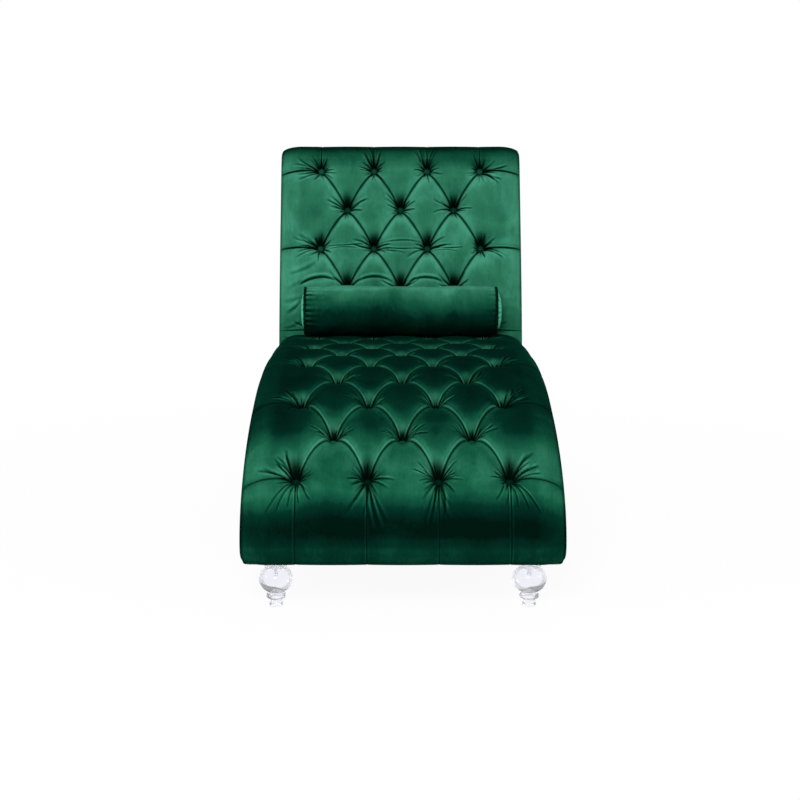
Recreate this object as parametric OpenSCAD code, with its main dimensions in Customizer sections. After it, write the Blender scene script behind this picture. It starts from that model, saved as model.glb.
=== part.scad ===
// Fainting couch: an armless chaise with a button-tufted seat and back in one S-shaped sweep,
// a loose bolster in the crease and four clear turned feet.
// The foot end points along -Y, +Z is up, and the origin is on the floor under the middle.
// Every side view is drawn as [distance from the foot end, height] and moved to its place last.

/* [Body] */
// Width over the side panels
body_w = 640; // [600:5:700]
// Length from the front of the foot end to the back of the head roll
body_l = 1480; // [1460:5:1540]
// Height of the head roll above the floor
body_h = 870; // [840:5:920]
// Height of the top of the seat edge, at the knee
seat_h = 378; // [360:2:400]
// Distance of the knee, where the seat edge is highest, from the foot end
knee_at = 680; // [620:5:740]
// Height of the crease between seat and back
crease_h = 358; // [345:1:370]
// Distance of the crease in front of the back of the head roll
back_run = 277; // [260:1:320]
// Height of the foremost line of the nose
nose_h = 150; // [140:1:165]
// Distance of the lower front lip from the foot end
lip_at = 96; // [90:1:104]
// Lean of the back where it leaves the crease, in degrees
back_lean_low = 12; // [6:1:14]
// Lean of the back where the head roll begins, in degrees
back_lean_top = 22; // [16:1:26]
// Radius of the head roll under its padding
roll_r = 46; // [42:1:52]
// Distance of the lower rear edge in front of the back of the head roll
rear_inset = 130; // [100:5:150]

/* [Padding] */
// Height of the padding over the seat edge at mid seat
seat_crest = 50; // [42:1:58]
// How far the padding stands in front of the nose
nose_pad = 28; // [22:1:32]
// Height of the padding over the back edge at mid back
back_crest = 40; // [34:1:46]
// Thickness of the padding on the head roll
roll_pad = 12; // [9:1:16]
// How deep a button pulls the padding in
tuft_depth = 30; // [20:1:32]
// Width over which the padding rounds down to the side edges
edge_round = 55; // [40:1:70]
// Thickness of the cover where it meets a side panel
hem_t = 3; // [2:0.5:5]
// Thickness of the foam under the seat cover
seat_foam_t = 30; // [20:1:36]
// Thickness of the foam under the back cover
back_foam_t = 22; // [16:1:28]
// Thickness of the foam round the nose and the head roll
roll_foam_t = 10; // [8:1:12]

/* [Tufting] */
// Distance between buttons across the couch
button_pitch = 141; // [125:1:150]
// Distance between button rows along the seat
seat_row = 126; // [118:1:128]
// Number of button rows on the seat, where it is long enough for them
seat_rows = 9; // [7:1:9]
// Distance of the first seat row above the nose, along the surface
front_row = 136; // [125:1:145]
// Distance between button rows on the back
back_row = 108; // [95:1:109]
// Number of button rows on the back, where it is high enough for them
back_rows = 5; // [3:1:5]
// Distance of the top back row below the head roll
top_row = 30; // [24:1:40]
// Diameter of a covered button
button_d = 20; // [16:1:24]
// Height of a button's dome
button_h = 6; // [4:0.5:8]

/* [Frame] */
// Thickness of a plywood side frame
side_t = 18; // [15:1:22]
// Thickness of the padded side panels
side_cover_t = 6; // [4:1:10]
// Thickness of the cross rails
rail_t = 22; // [18:1:28]
// Height of the front, rear and middle cross rails
rail_h = 100; // [70:5:120]
// Thickness of the outside back panel
back_cover_t = 8; // [5:1:12]
// Thickness of the bent board under the nose foam
nose_board_t = 4; // [3:1:6]
// Thickness of the dust cover under the frame
dust_t = 1; // [0.8:0.1:2]
// Width of the rim left round a window in a side frame
window_rim = 55; // [45:5:70]
// Diameter of the frame screws
screw_d = 6; // [4:0.5:7]
// Length of the frame screws
screw_l = 56; // [45:1:70]

/* [Springs] */
// Diameter of the spring wire
wire_d = 3.6; // [3:0.1:4.2]
// Width of a zigzag spring
spring_w = 46; // [40:1:52]
// Number of zigzag springs under the seat
seat_springs_n = 7; // [5:1:8]
// Number of zigzag springs in the back
back_springs_n = 3; // [2:1:4]

/* [Feet] */
// Height of a foot
foot_h = 90; // [80:1:110]
// Distance of a foot's middle from the outside of a side panel
foot_inset = 64; // [58:1:100]
// Distance of the front feet from the foot end
front_foot_at = 118; // [116:1:150]
// Distance of the rear feet's middle in front of the lower rear edge
rear_foot_inset = 60; // [50:5:110]
// Diameter of a foot's ball
ball_d = 70; // [56:1:80]
// Diameter of the collar above the ball
collar_d = 46; // [38:1:52]
// Diameter of the bead below the ball
bead_d = 41; // [34:1:46]
// Diameter of the stem below the bead
stem_d = 25; // [20:1:30]
// Diameter of the bolt in each foot
bolt_d = 8; // [6:1:10]
// Depth of the bolt in a foot
bolt_in_foot = 26; // [18:1:34]

/* [Bolster] */
// Diameter of the bolster
bolster_d = 128; // [110:1:140]
// Length of the bolster between its end seams
bolster_l = 486; // [420:2:520]
// Height of the domed ends beyond the seams
bolster_dome = 13; // [8:1:20]
// How much the bolster narrows at its seams, on the diameter
bolster_pull = 5; // [2:1:8]
// How far the bolster is drawn forward from its place against the back
bolster_set = 0; // [0:1:60]
// Thickness of the bolster's cover
bolster_cover_t = 2.5; // [1.5:0.5:4]
// Diameter of the piping
piping_d = 6; // [4:0.5:7]

/* [Hidden] */

// Fits
play = 0.3;
bore_play = 0.1;

// Places that follow the width and the length
foot_x = body_w / 2 - foot_inset;
crease_at = body_l - back_run;
rear_at = body_l - rear_inset;
rear_foot_at = rear_at - rear_foot_inset;

// Height of the underside of the body
base_z = foot_h;
// Height of the lower front lip above that underside
lip_rise = 8;
// Reach of the handles that shape the curves of the side view
nose_rise = 100;
knee_reach = 422;
seat_reach = 0.325 * (crease_at - knee_at);
crease_reach = 0.369 * (crease_at - knee_at);
crease_fall = 0.031 * crease_reach;
back_reach = 150;
head_reach = 170;
rear_reach = 190;
rear_foot_reach = 240;
// Angle at which the head roll ends behind, in degrees
roll_end = -15;

// Half of the widths that the pieces across the couch share
half_w = body_w / 2;
panel_x = half_w - side_cover_t;
rail_x = panel_x - side_t;
half_pitch = button_pitch / 2;

// A point and its outward normal on a cubic curve, as [distance, height, normal, normal]
function curve_point(p, t) =
    pow(1 - t, 3) * p[0] + 3 * pow(1 - t, 2) * t * p[1] + 3 * (1 - t) * t * t * p[2] + pow(t, 3) * p[3];
function curve_slope(p, t) =
    pow(1 - t, 2) * (p[1] - p[0]) + 2 * (1 - t) * t * (p[2] - p[1]) + t * t * (p[3] - p[2]);
function with_normal(p, v) = [p.x, p.y, -v.y / norm(v), v.x / norm(v)];
function curve(p, n) = [for (i = [0:n]) with_normal(curve_point(p, i / n), curve_slope(p, i / n))];
function arc(c, r, from, to, n) =
    [for (i = [0:n]) let (a = from + (to - from) * i / n)
        [c.x + r * cos(a), c.y + r * sin(a), cos(a), sin(a)]];
function tail(v) = [for (i = [1:len(v) - 1]) v[i]];

// The edge line of the side panels, from the lip up over the nose to the crease
lip_curve = curve([[lip_at, base_z + lip_rise], [lip_at - 30, base_z + lip_rise + 20],
    [nose_pad, nose_h - 28], [nose_pad, nose_h]], 8);
nose_curve = curve([[nose_pad, nose_h], [nose_pad, nose_h + nose_rise],
    [knee_at - knee_reach, seat_h], [knee_at, seat_h]], 40);
knee_curve = curve([[knee_at, seat_h], [knee_at + seat_reach, seat_h],
    [crease_at - crease_reach, crease_h + crease_fall], [crease_at, crease_h]], 20);
seat_line = concat(lip_curve, tail(nose_curve), tail(knee_curve));

// The edge line of the back, from the crease up and round the head roll
roll_c = [body_l - roll_pad - roll_r, body_h - roll_pad - roll_r];
roll_start = roll_c + roll_r * [-cos(back_lean_top), sin(back_lean_top)];
back_foot = [crease_at + hem_t + play, crease_h];
back_curve = curve([back_foot, back_foot + back_reach * [sin(back_lean_low), cos(back_lean_low)],
    roll_start - head_reach * [sin(back_lean_top), cos(back_lean_top)], roll_start], 40);
roll_front = arc(roll_c, roll_r, 180 - back_lean_top, 90, 8);
roll_back = arc(roll_c, roll_r, 90, 0, 8);
roll_tuck = arc(roll_c, roll_r, 0, roll_end, 2);
back_line = concat(back_curve, tail(roll_front), tail(roll_back), tail(roll_tuck));

// The rear line of the frame, from the end of the head roll down to the lower rear edge
rear_r = roll_r - roll_foam_t;
rear_top = roll_c + rear_r * [cos(roll_end), sin(roll_end)] + play * [sin(roll_end), -cos(roll_end)];
rear_line = curve([rear_top, rear_top + rear_reach * [sin(roll_end), -cos(roll_end)],
    [rear_at, base_z + rear_foot_reach], [rear_at, base_z]], 14);

// Lengths along the two edge lines, and the point at a given length, to the nearest 0.01 mm so that
// a cover and the foam under it share their points
function xy(p) = [p[0], p[1]];
function lengths(line) =
    [for (i = 0, s = 0; i < len(line);
        s = s + (i < len(line) - 1 ? norm(xy(line[i + 1]) - xy(line[i])) : 0), i = i + 1) s];
function on_grid(v) = round(v * 100) / 100;
function along(line, len_at, s) =
    [for (k = [0:3]) let (v = lookup(s, [for (i = [0:len(line) - 1]) [len_at[i], line[i][k]]]))
        k < 2 ? on_grid(v) : v];
seat_len = lengths(seat_line);
back_len = lengths(back_line);
seat_end = seat_len[len(seat_line) - 1];
back_end = back_len[len(back_line) - 1];
nose_s = seat_len[8];
roll_s = back_len[40];
crown_s = back_len[48];
rear_s = back_len[56];

// Stations along the seat and the back at which the tufted covers, foam and frames have an edge
steps = 3;
seat_margin = 40;
back_margin = 36;
first_row_s = nose_s + front_row;
seat_rows_n = min(seat_rows, 1 + floor((seat_end - seat_margin - first_row_s) / seat_row));
seat_steps_n = floor((seat_end - seat_margin - first_row_s) * steps / seat_row);
last_row_s = first_row_s + (seat_rows_n - 1) * seat_row;
lip_s = [0, nose_s * 0.35, nose_s * 0.7];
front_s = [for (t = [0, 0.2, 0.45, 0.72]) nose_s + t * front_row];
first_row_i = len(lip_s) + len(front_s);
last_row_i = first_row_i + (seat_rows_n - 1) * steps;
seat_s = concat(lip_s, front_s,
    [for (i = [0:seat_steps_n]) first_row_s + i * seat_row / steps],
    [seat_end - 24, seat_end - 8, seat_end]);
top_row_s = roll_s - top_row;
back_rows_n = min(back_rows, 1 + floor((top_row_s - back_margin) / back_row));
low_row_s = top_row_s - (back_rows_n - 1) * back_row;
// Length of the back's skin that is tucked down behind the seat
tuck_s = seat_crest * 0.9;
foot_s = [for (t = [0, 0.45, 1]) t * min(tuck_s, low_row_s * 0.85)];
plain_steps_n = max(0, floor((low_row_s - tuck_s) * steps / back_row - 0.5));
low_row_i = len(foot_s) + plain_steps_n;
top_row_i = low_row_i + (back_rows_n - 1) * steps;
back_s = concat(foot_s,
    [for (i = [-plain_steps_n:(back_rows_n - 1) * steps]) low_row_s + i * back_row / steps],
    [roll_s, (roll_s + crown_s) / 2, crown_s, (2 * crown_s + rear_s) / 3, (crown_s + 2 * rear_s) / 3,
        rear_s, back_end]);
seat_st = [for (s = seat_s) along(seat_line, seat_len, s)];
back_st = [for (s = back_s) along(back_line, back_len, s)];

// Lines parallel to a station list, at a distance that may vary along it
function offset_line(st, d) = [for (i = [0:len(st) - 1]) xy(st[i]) + d[i] * [st[i][2], st[i][3]]];
function flat_line(st) = [for (p = st) xy(p)];
function reversed(v) = [for (i = [len(v) - 1:-1:0]) v[i]];

// Thickness of the foam along the seat and the back
seat_foam_at = [for (s = seat_s) lookup(s, [[0, roll_foam_t * 0.6], [nose_s, roll_foam_t],
    [first_row_s + seat_row, seat_foam_t], [seat_end, seat_foam_t]])];
back_foam_at = [for (s = back_s) lookup(s, [[0, back_foam_t], [top_row_s - back_row, back_foam_t],
    [roll_s, roll_foam_t], [back_end, roll_foam_t]])];
seat_frame_line = offset_line(seat_st, -seat_foam_at);
back_frame_line = offset_line(back_st, -back_foam_at);
rear_skin_line = offset_line(rear_line, [for (p = rear_line) back_cover_t]);
frame_toe = [lip_at + 8, base_z];

// The tufted surface: a lattice of diamonds with a button at each corner
// The height of a pillow falls to nothing along the pleats and to a pit at the buttons
pleat_share = 0.42;
pit_reach = 16;
end_round = 35;
function clamped(v, lo, hi) = max(lo, min(hi, v));
function pillow(a, b) = pow(abs(cos(90 * (a + b)) * cos(90 * (a - b))), 0.35);
function button_gap(a, b, row) =
    min([for (i = [-1:1], k = [-1:1]) let (ca = round(a) + i, cb = round(b) + k)
        abs((ca + cb) % 2) == 1 ? norm([(a - ca) * half_pitch, (b - cb) * row]) : 1000]);
function relief(x, b, rows, row) =
    let (a = clamped(x / half_pitch, -3, 3), c = clamped(b, 0, rows - 1),
        past = norm([abs(x) - abs(a) * half_pitch, (b - c) * row]),
        pit = exp(-pow(norm([button_gap(a, c, row), past]) / pit_reach, 2) / 2))
    pleat_share * pillow(a, c) + (1 - pleat_share) * (1 - pit);
function side_fall(x) = sqrt(max(0, 1 - pow(max(0, 1 - (half_w - abs(x)) / edge_round), 2)));
function end_fall(gap) = sqrt(max(0, 1 - pow(max(0, 1 - gap / end_round), 2)));

function seat_crest_at(s) = end_fall(seat_end - s + 1) * lookup(s, [[0, 7], [nose_s, nose_pad],
    [first_row_s, seat_crest * 0.72], [first_row_s + 2 * seat_row, seat_crest * 0.92],
    [first_row_s + 4 * seat_row, seat_crest], [last_row_s - seat_row, seat_crest * 0.94],
    [seat_end, seat_crest * 0.84]]);
function seat_depth_at(s) = end_fall(seat_end - s + 1) * lookup(s, [[0, 2], [nose_s, 5],
    [nose_s + front_row * 2 / 3, 9], [first_row_s, tuft_depth], [last_row_s, tuft_depth],
    [seat_end - 24, tuft_depth * 0.3], [seat_end, 1]]);
function seat_height(x, s) = hem_t + side_fall(x) * (seat_crest_at(s) - hem_t
    - seat_depth_at(s) * (1 - relief(x, (s - first_row_s) / seat_row, seat_rows_n, seat_row)));

function back_crest_at(s) = lookup(s, [[0, hem_t], [tuck_s, hem_t + tuck_s * tan(back_lean_low)],
    [low_row_s + back_row * 2 / 3, back_crest * 0.8], [low_row_s + 2 * back_row, back_crest],
    [top_row_s, back_crest * 0.8], [roll_s, back_crest * 0.55], [crown_s, roll_pad], [back_end, roll_pad]]);
function back_depth_at(s) = lookup(s, [[0, 0], [tuck_s, back_crest * 0.1], [low_row_s, back_crest * 0.2],
    [low_row_s + back_row, tuft_depth * 0.9], [top_row_s - back_row, tuft_depth],
    [top_row_s, back_crest * 0.6], [roll_s, 7], [crown_s, 4], [back_end, 3]]);
function back_height(x, s) = hem_t + side_fall(x) * (back_crest_at(s) - hem_t
    - back_depth_at(s) * (1 - relief(x, (top_row_s - s) / back_row, back_rows_n, back_row)));

// Columns across the couch: thirds of the half pitch, then closer towards the edges
cols_half = concat([for (i = [0:3 * steps]) i * half_pitch / steps],
    [for (t = [0.3, 0.57, 0.79, 0.94, 1]) 3 * half_pitch + t * (half_w - 3 * half_pitch)]);
cols = concat([for (i = [len(cols_half) - 1:-1:1]) -cols_half[i]], cols_half);

seat_heights = [for (s = seat_s) [for (x = cols) seat_height(x, s)]];
back_heights = [for (s = back_s) [for (x = cols) back_height(x, s)]];

// Distance of a lattice value from an odd whole number, which is where a pleat runs
function off_odd(v) = abs(v - 2 * floor(v / 2) - 1);

// Side views are drawn as [distance, height] and stood up here, from x0 to x1
module across(x0, x1) {
    translate([x0, -body_l / 2, 0])
        rotate([90, 0, 90])
            linear_extrude(height = x1 - x0)
                children();
}

// A closed skin: tufted outside, plain on the line of its stations inside
module tufted_skin(st, heights, lattice) {
    nc = len(cols);
    ns = len(st);
    inner = ns * nc;
    points = concat(
        [for (i = [0:ns - 1], j = [0:nc - 1])
            [cols[j], st[i][0] + heights[i][j] * st[i][2] - body_l / 2,
                st[i][1] + heights[i][j] * st[i][3]]],
        [for (i = [0:ns - 1], x = [-half_w, half_w]) [x, st[i][0] - body_l / 2, st[i][1]]]);
    faces = concat(
        [for (i = [0:ns - 2], j = [0:nc - 2], k = [0:1])
            let (a = (cols[j] + cols[j + 1]) / button_pitch, b = (lattice[i] + lattice[i + 1]) / 2,
                o = i * nc + j, rising = off_odd(a - b) < off_odd(a + b))
            rising ? (k == 0 ? [o, o + nc, o + nc + 1] : [o, o + nc + 1, o + 1])
                : (k == 0 ? [o, o + nc, o + 1] : [o + nc, o + nc + 1, o + 1])],
        [for (i = [0:ns - 2]) let (a = inner + 2 * i) [a, a + 1, a + 3, a + 2]],
        [for (i = [0:ns - 2]) let (a = inner + 2 * i) [a, a + 2, (i + 1) * nc, i * nc]],
        [for (i = [0:ns - 2]) let (a = inner + 2 * i)
            [a + 1, i * nc + nc - 1, (i + 1) * nc + nc - 1, a + 3]],
        [concat([inner], [for (j = [0:nc - 1]) j], [inner + 1])],
        [concat([inner + 2 * ns - 1], [for (j = [nc - 1:-1:0]) (ns - 1) * nc + j], [inner + 2 * ns - 2])]);
    polyhedron(points, faces, convexity = 8);
}

seat_lattice = [for (s = seat_s) clamped((s - first_row_s) / seat_row, 0, seat_rows_n - 1)];
back_lattice = [for (s = back_s) clamped((top_row_s - s) / back_row, 0, back_rows_n - 1)];

module seat_cover() {
    color([0.06, 0.36, 0.25])
        tufted_skin(seat_st, seat_heights, seat_lattice);
}

module back_cover() {
    color([0.08, 0.42, 0.30])
        tufted_skin(back_st, back_heights, back_lattice);
}

// How steeply a pit rises, from its bottom to the next columns and stations at its height
function rise(h, across_a, across_b, along_a, along_b, row) =
    norm([(max(across_a, across_b) - h) * steps / half_pitch, (max(along_a, along_b) - h) * steps / row]);
function seat_rise(x, s) =
    rise(seat_height(x, s), seat_height(x - half_pitch / steps, s), seat_height(x + half_pitch / steps, s),
        seat_height(x, s - seat_row / steps), seat_height(x, s + seat_row / steps), seat_row);
function back_rise(x, s) =
    rise(back_height(x, s), back_height(x - half_pitch / steps, s), back_height(x + half_pitch / steps, s),
        back_height(x, s - back_row / steps), back_height(x, s + back_row / steps), back_row);

// A covered button on its shank; shank and rim clear the sloping walls of the pit under them
shank_d = 4;
module button(slope) {
    dome_r = (pow(button_d / 2, 2) + pow(button_h, 2)) / (2 * button_h);
    rim_lift = button_d / 2 * slope + play;
    shank_lift = shank_d / 2 * slope + play;
    translate([0, 0, rim_lift + button_h - dome_r])
        intersection() {
            sphere(r = dome_r, $fn = 48);
            translate([0, 0, dome_r - button_h])
                cylinder(d = button_d + 1, h = button_h + 1, $fn = 48);
        }
    translate([0, 0, shank_lift])
        cylinder(d = shank_d, h = rim_lift - shank_lift + play, $fn = 24);
}

// Rows of four and three in turn; a row's button axis follows the surface there
module button_rows(line, len_at, row_s, height_at, slope_at) {
    for (k = [0:len(row_s) - 1], i = [0:(k % 2 == 0 ? 3 : 2)]) {
        x = (i - (k % 2 == 0 ? 1.5 : 1)) * button_pitch;
        p = along(line, len_at, row_s[k]);
        h = height_at[k];
        translate([x, p[0] + h * p[2] - body_l / 2, p[1] + h * p[3]])
            rotate([-atan2(p[2], p[3]), 0, 0])
                button(slope_at[k]);
    }
}

// Distance across the couch of the inner buttons of row k
function button_x(k) = (k % 2 == 0 ? 1 : 2) * half_pitch;

module seat_buttons() {
    rows = [for (k = [0:seat_rows_n - 1]) first_row_s + k * seat_row];
    color([0.05, 0.30, 0.21])
        button_rows(seat_line, seat_len, rows,
            [for (k = [0:seat_rows_n - 1]) seat_height(button_x(k), rows[k])],
            [for (k = [0:seat_rows_n - 1]) seat_rise(button_x(k), rows[k])]);
}

module back_buttons() {
    rows = [for (k = [0:back_rows_n - 1]) top_row_s - k * back_row];
    color([0.05, 0.30, 0.21])
        button_rows(back_line, back_len, rows,
            [for (k = [0:back_rows_n - 1]) back_height(button_x(k), rows[k])],
            [for (k = [0:back_rows_n - 1]) back_rise(button_x(k), rows[k])]);
}

module seat_foam() {
    color([0.93, 0.88, 0.70])
        across(-panel_x, panel_x)
            polygon(concat(flat_line(seat_st), reversed(seat_frame_line)));
}

module back_foam() {
    color([0.93, 0.88, 0.70])
        across(-panel_x, panel_x)
            polygon(concat(flat_line(back_st), reversed(back_frame_line)));
}

// Front and rear of the side frame's upper part at height z
function frame_front(z) =
    lookup(z, [for (i = [0:top_row_i + 1]) [back_frame_line[i].y, back_frame_line[i].x]]);
function frame_rear(z) = lookup(z, [for (p = reversed(rear_line)) [p[1], p[0]]]);

// Places of the rails: the front rail behind the feet, the crease rail in front of the crease, and
// the back rail above it, with room for the springs in front
front_rail_gap = 47;
crease_rail_gap = 50;
back_rail_rise = 42;
spring_room = 24;
front_rail_at = front_foot_at + front_rail_gap;
middle_rail_at = knee_at - rail_t / 2;
crease_rail_at = crease_at - crease_rail_gap;
rear_rail_at = rear_at - rail_t;
rail_z = base_z;
back_rail_z = crease_h + back_rail_rise;
back_rail_at = frame_front(back_rail_z + rail_h) + spring_room;

// Screws through the side frames into the ends of the rails, as [distance, height]
screw_points = concat(
    [for (d = [front_rail_at, middle_rail_at, crease_rail_at, rear_rail_at], t = [0.3, 0.75])
        [d + rail_t / 2, rail_z + t * rail_h]],
    [for (t = [0.3, 0.75]) [back_rail_at + rail_t / 2, back_rail_z + t * rail_h]],
    [roll_c]);
head_d = 2 * screw_d - 2;
head_h = 3;

module screw_holes() {
    for (p = screw_points, side = [-1, 1])
        translate([side * panel_x, p.x - body_l / 2, p.y])
            rotate([0, -side * 90, 0]) {
                translate([0, 0, -1])
                    cylinder(d = screw_d + 2 * bore_play, h = screw_l + 1 + bore_play, $fn = 32);
                translate([0, 0, -1])
                    cylinder(d = head_d + 2 * bore_play, h = head_h + 1 + bore_play, $fn = 32);
            }
}

module frame_screws() {
    color([0.72, 0.70, 0.66])
        for (p = screw_points, side = [-1, 1])
            translate([side * panel_x, p.x - body_l / 2, p.y])
                rotate([0, -side * 90, 0]) {
                    cylinder(d = screw_d, h = screw_l, $fn = 32);
                    cylinder(d = head_d, h = head_h, $fn = 32);
                }
}

// A window with round corners, drawn from its lower left corner
module window(size, r) {
    translate([r, 0])
        square([size.x - 2 * r, size.y]);
    translate([0, r])
        square([size.x, size.y - 2 * r]);
    for (x = [r, size.x - r], y = [r, size.y - r])
        translate([x, y])
            circle(r = r, $fn = 48);
}

// Windows in a side frame: wood left beside a rail, round corners and least width
rail_rim = 45;
window_r = 30;
window_least = 130;
window_z = base_z + window_rim;
window_h = crease_h - seat_foam_t - base_z - 2 * window_rim;

// As many windows as fit side by side between two rails
module windows_between(from, to) {
    n = max(1, floor((to - from + window_rim) / (window_least + window_rim)));
    w = (to - from - (n - 1) * window_rim) / n;
    for (k = [0:n - 1])
        translate([from + k * (w + window_rim), window_z])
            window([w, window_h], min(window_r, w / 2 - 1, window_h / 2 - 1));
}

// The window in the back runs up the middle of the side frame, from the back rail to the head rail
back_window_w = 40;
module back_window() {
    low_z = back_rail_z + rail_h + rail_rim;
    high_z = roll_c.y - head_depth - rail_rim / 2;
    low = [(frame_front(low_z) + frame_rear(low_z)) / 2, low_z];
    high = [(frame_front(high_z) + frame_rear(high_z)) / 2, high_z];
    translate(low)
        rotate(atan2(high.y - low.y, high.x - low.x))
            translate([0, -back_window_w / 2])
                window([norm(high - low), back_window_w], back_window_w / 2 - 1);
}

// The side frame follows the foam on top, the rear line behind and the floor line below
module side_frame(x0) {
    difference() {
        across(x0, x0 + side_t)
            difference() {
                polygon(concat(seat_frame_line, back_frame_line, flat_line(rear_line), [frame_toe]));
                windows_between(front_rail_at + rail_t + rail_rim, middle_rail_at - rail_rim);
                windows_between(middle_rail_at + rail_t + rail_rim, crease_rail_at - rail_rim);
                back_window();
            }
        screw_holes();
    }
}

module side_frame_left() {
    color([0.80, 0.66, 0.45])
        side_frame(-panel_x);
}

module side_frame_right() {
    color([0.80, 0.66, 0.45])
        side_frame(rail_x);
}

// A rail between the side frames, from its lower front edge
module rail(at, z, h) {
    color([0.76, 0.60, 0.38])
        difference() {
            translate([-rail_x, at - body_l / 2, z])
                cube([2 * rail_x, rail_t, h]);
            screw_holes();
        }
}

module front_rail() {
    rail(front_rail_at, rail_z, rail_h);
}

module middle_rail() {
    rail(middle_rail_at, rail_z, rail_h);
}

module crease_rail() {
    rail(crease_rail_at, rail_z, rail_h);
}

module rear_rail() {
    rail(rear_rail_at, rail_z, rail_h);
}

module back_rail() {
    rail(back_rail_at, back_rail_z, rail_h);
}

// The head rail fills the roll between the side frames, down to a flat underside; the last corner of
// its outline lies inside the back, clear of the underside
head_depth = 62;
head_corner = roll_c - [rear_r * cos(back_lean_top) + 40, 160];
module head_rail() {
    color([0.76, 0.60, 0.38])
        difference() {
            across(-rail_x, rail_x)
                intersection() {
                    polygon(concat([for (i = [top_row_i + 1:len(back_s) - 1]) back_frame_line[i]],
                        [for (i = [0:3]) xy(rear_line[i])],
                        [head_corner]));
                    translate(roll_c - [body_l, head_depth])
                        square([2 * body_l, 2 * head_depth]);
                }
            screw_holes();
        }
}

// A thin board bent round the nose carries the foam between the side frames
nose_last = first_row_i + 2;
module nose_board() {
    inner = offset_line(seat_st, -seat_foam_at - [for (s = seat_s) nose_board_t]);
    color([0.62, 0.47, 0.30])
        across(-rail_x, rail_x)
            polygon(concat([for (i = [0:nose_last]) seat_frame_line[i]],
                [for (i = [nose_last:-1:0]) inner[i]]));
}

// Corner blocks take the bolts of the feet through threaded plates; wood is left round each plate
block_h = 40;
nut_barrel_d = bolt_d + 4;
nut_barrel_h = 12;
nut_plate_d = 24;
nut_plate_t = 1.6;
plate_rim_side = 28;
plate_rim_front = 1;
plate_rim_rear = 10;
block_w = rail_x - foot_x + nut_plate_d / 2 + plate_rim_side;
feet = [[-foot_x, front_foot_at], [foot_x, front_foot_at], [-foot_x, rear_foot_at], [foot_x, rear_foot_at]];

module corner_block(side, from, to) {
    color([0.76, 0.60, 0.38])
        difference() {
            translate([side > 0 ? rail_x - block_w : -rail_x, from - body_l / 2, base_z])
                cube([block_w, to - from, block_h]);
            for (f = feet)
                translate([f.x, f.y - body_l / 2, base_z - 1])
                    cylinder(d = nut_barrel_d + 2 * bore_play, h = block_h + 2, $fn = 48);
        }
}

module corner_block_front_left() {
    corner_block(-1, front_foot_at - nut_plate_d / 2 - plate_rim_front, front_rail_at);
}

module corner_block_front_right() {
    corner_block(1, front_foot_at - nut_plate_d / 2 - plate_rim_front, front_rail_at);
}

module corner_block_rear_left() {
    corner_block(-1, rear_foot_at - nut_plate_d / 2 - plate_rim_rear, rear_rail_at);
}

module corner_block_rear_right() {
    corner_block(1, rear_foot_at - nut_plate_d / 2 - plate_rim_rear, rear_rail_at);
}

module t_nuts() {
    color([0.70, 0.70, 0.72])
        for (f = feet)
            translate([f.x, f.y - body_l / 2, base_z + block_h])
                difference() {
                    union() {
                        cylinder(d = nut_plate_d, h = nut_plate_t, $fn = 48);
                        translate([0, 0, -nut_barrel_h])
                            cylinder(d = nut_barrel_d, h = nut_barrel_h + nut_plate_t, $fn = 48);
                    }
                    translate([0, 0, -nut_barrel_h - 1])
                        cylinder(d = bolt_d + 2 * bore_play, h = nut_barrel_h + nut_plate_t + 2, $fn = 48);
                }
}

module leg_bolts() {
    color([0.70, 0.70, 0.72])
        for (f = feet)
            translate([f.x, f.y - body_l / 2, base_z - bolt_in_foot])
                cylinder(d = bolt_d, h = bolt_in_foot + block_h + 4, $fn = 48);
}

// The turned foot, drawn as a half profile of arcs between its beads
disc_h = 9;
disc_d = stem_d + 3;
stem_h = 7;
bead_h = 12;
neck_d = stem_d + 5;
collar_h = 10;
ball_low = disc_h + stem_h + bead_h + 1;
ball_top = foot_h - collar_h;
ball_mid = ball_low + (ball_top - ball_low) * 0.54;
function bulge(r0, r1, z0, z1, n) =
    [for (i = [0:n]) let (a = -90 + 180 * i / n)
        [r0 + (r1 - r0) * cos(a), (z0 + z1) / 2 + (z1 - z0) / 2 * sin(a)]];

module foot() {
    ball_half_low = (ball_mid - ball_low) / sin(68);
    ball_half_top = (ball_top - ball_mid) / sin(50);
    profile = concat(
        [[0, 0], [disc_d / 2 - 2, 0], [disc_d / 2, 2], [disc_d / 2, disc_h - 2.5], [stem_d / 2 + 0.5, disc_h],
            [stem_d / 2 - 0.5, disc_h + 1.5], [stem_d / 2, disc_h + stem_h]],
        bulge(stem_d / 2 + 1.5, bead_d / 2, disc_h + stem_h, disc_h + stem_h + bead_h, 10),
        [[neck_d / 2 - 2, ball_low]],
        [for (a = [-68:8.5:0]) [ball_d / 2 * cos(a), ball_mid + ball_half_low * sin(a)]],
        [for (a = [10:10:50]) [ball_d / 2 * cos(a), ball_mid + ball_half_top * sin(a)]],
        [[collar_d / 2 - 1.5, ball_top + 1], [collar_d / 2, foot_h - 3], [collar_d / 2, foot_h],
            [0, foot_h]]);
    difference() {
        rotate_extrude($fn = 96)
            polygon(profile);
        translate([0, 0, foot_h - bolt_in_foot - 1])
            cylinder(d = bolt_d + 2 * bore_play, h = bolt_in_foot + 2, $fn = 48);
    }
}

module leg(k) {
    color([0.88, 0.88, 0.92, 0.5])
        translate([feet[k].x, feet[k].y - body_l / 2, 0])
            foot();
}

module leg_front_left() {
    leg(0);
}

module leg_front_right() {
    leg(1);
}

module leg_rear_left() {
    leg(2);
}

module leg_rear_right() {
    leg(3);
}

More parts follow.
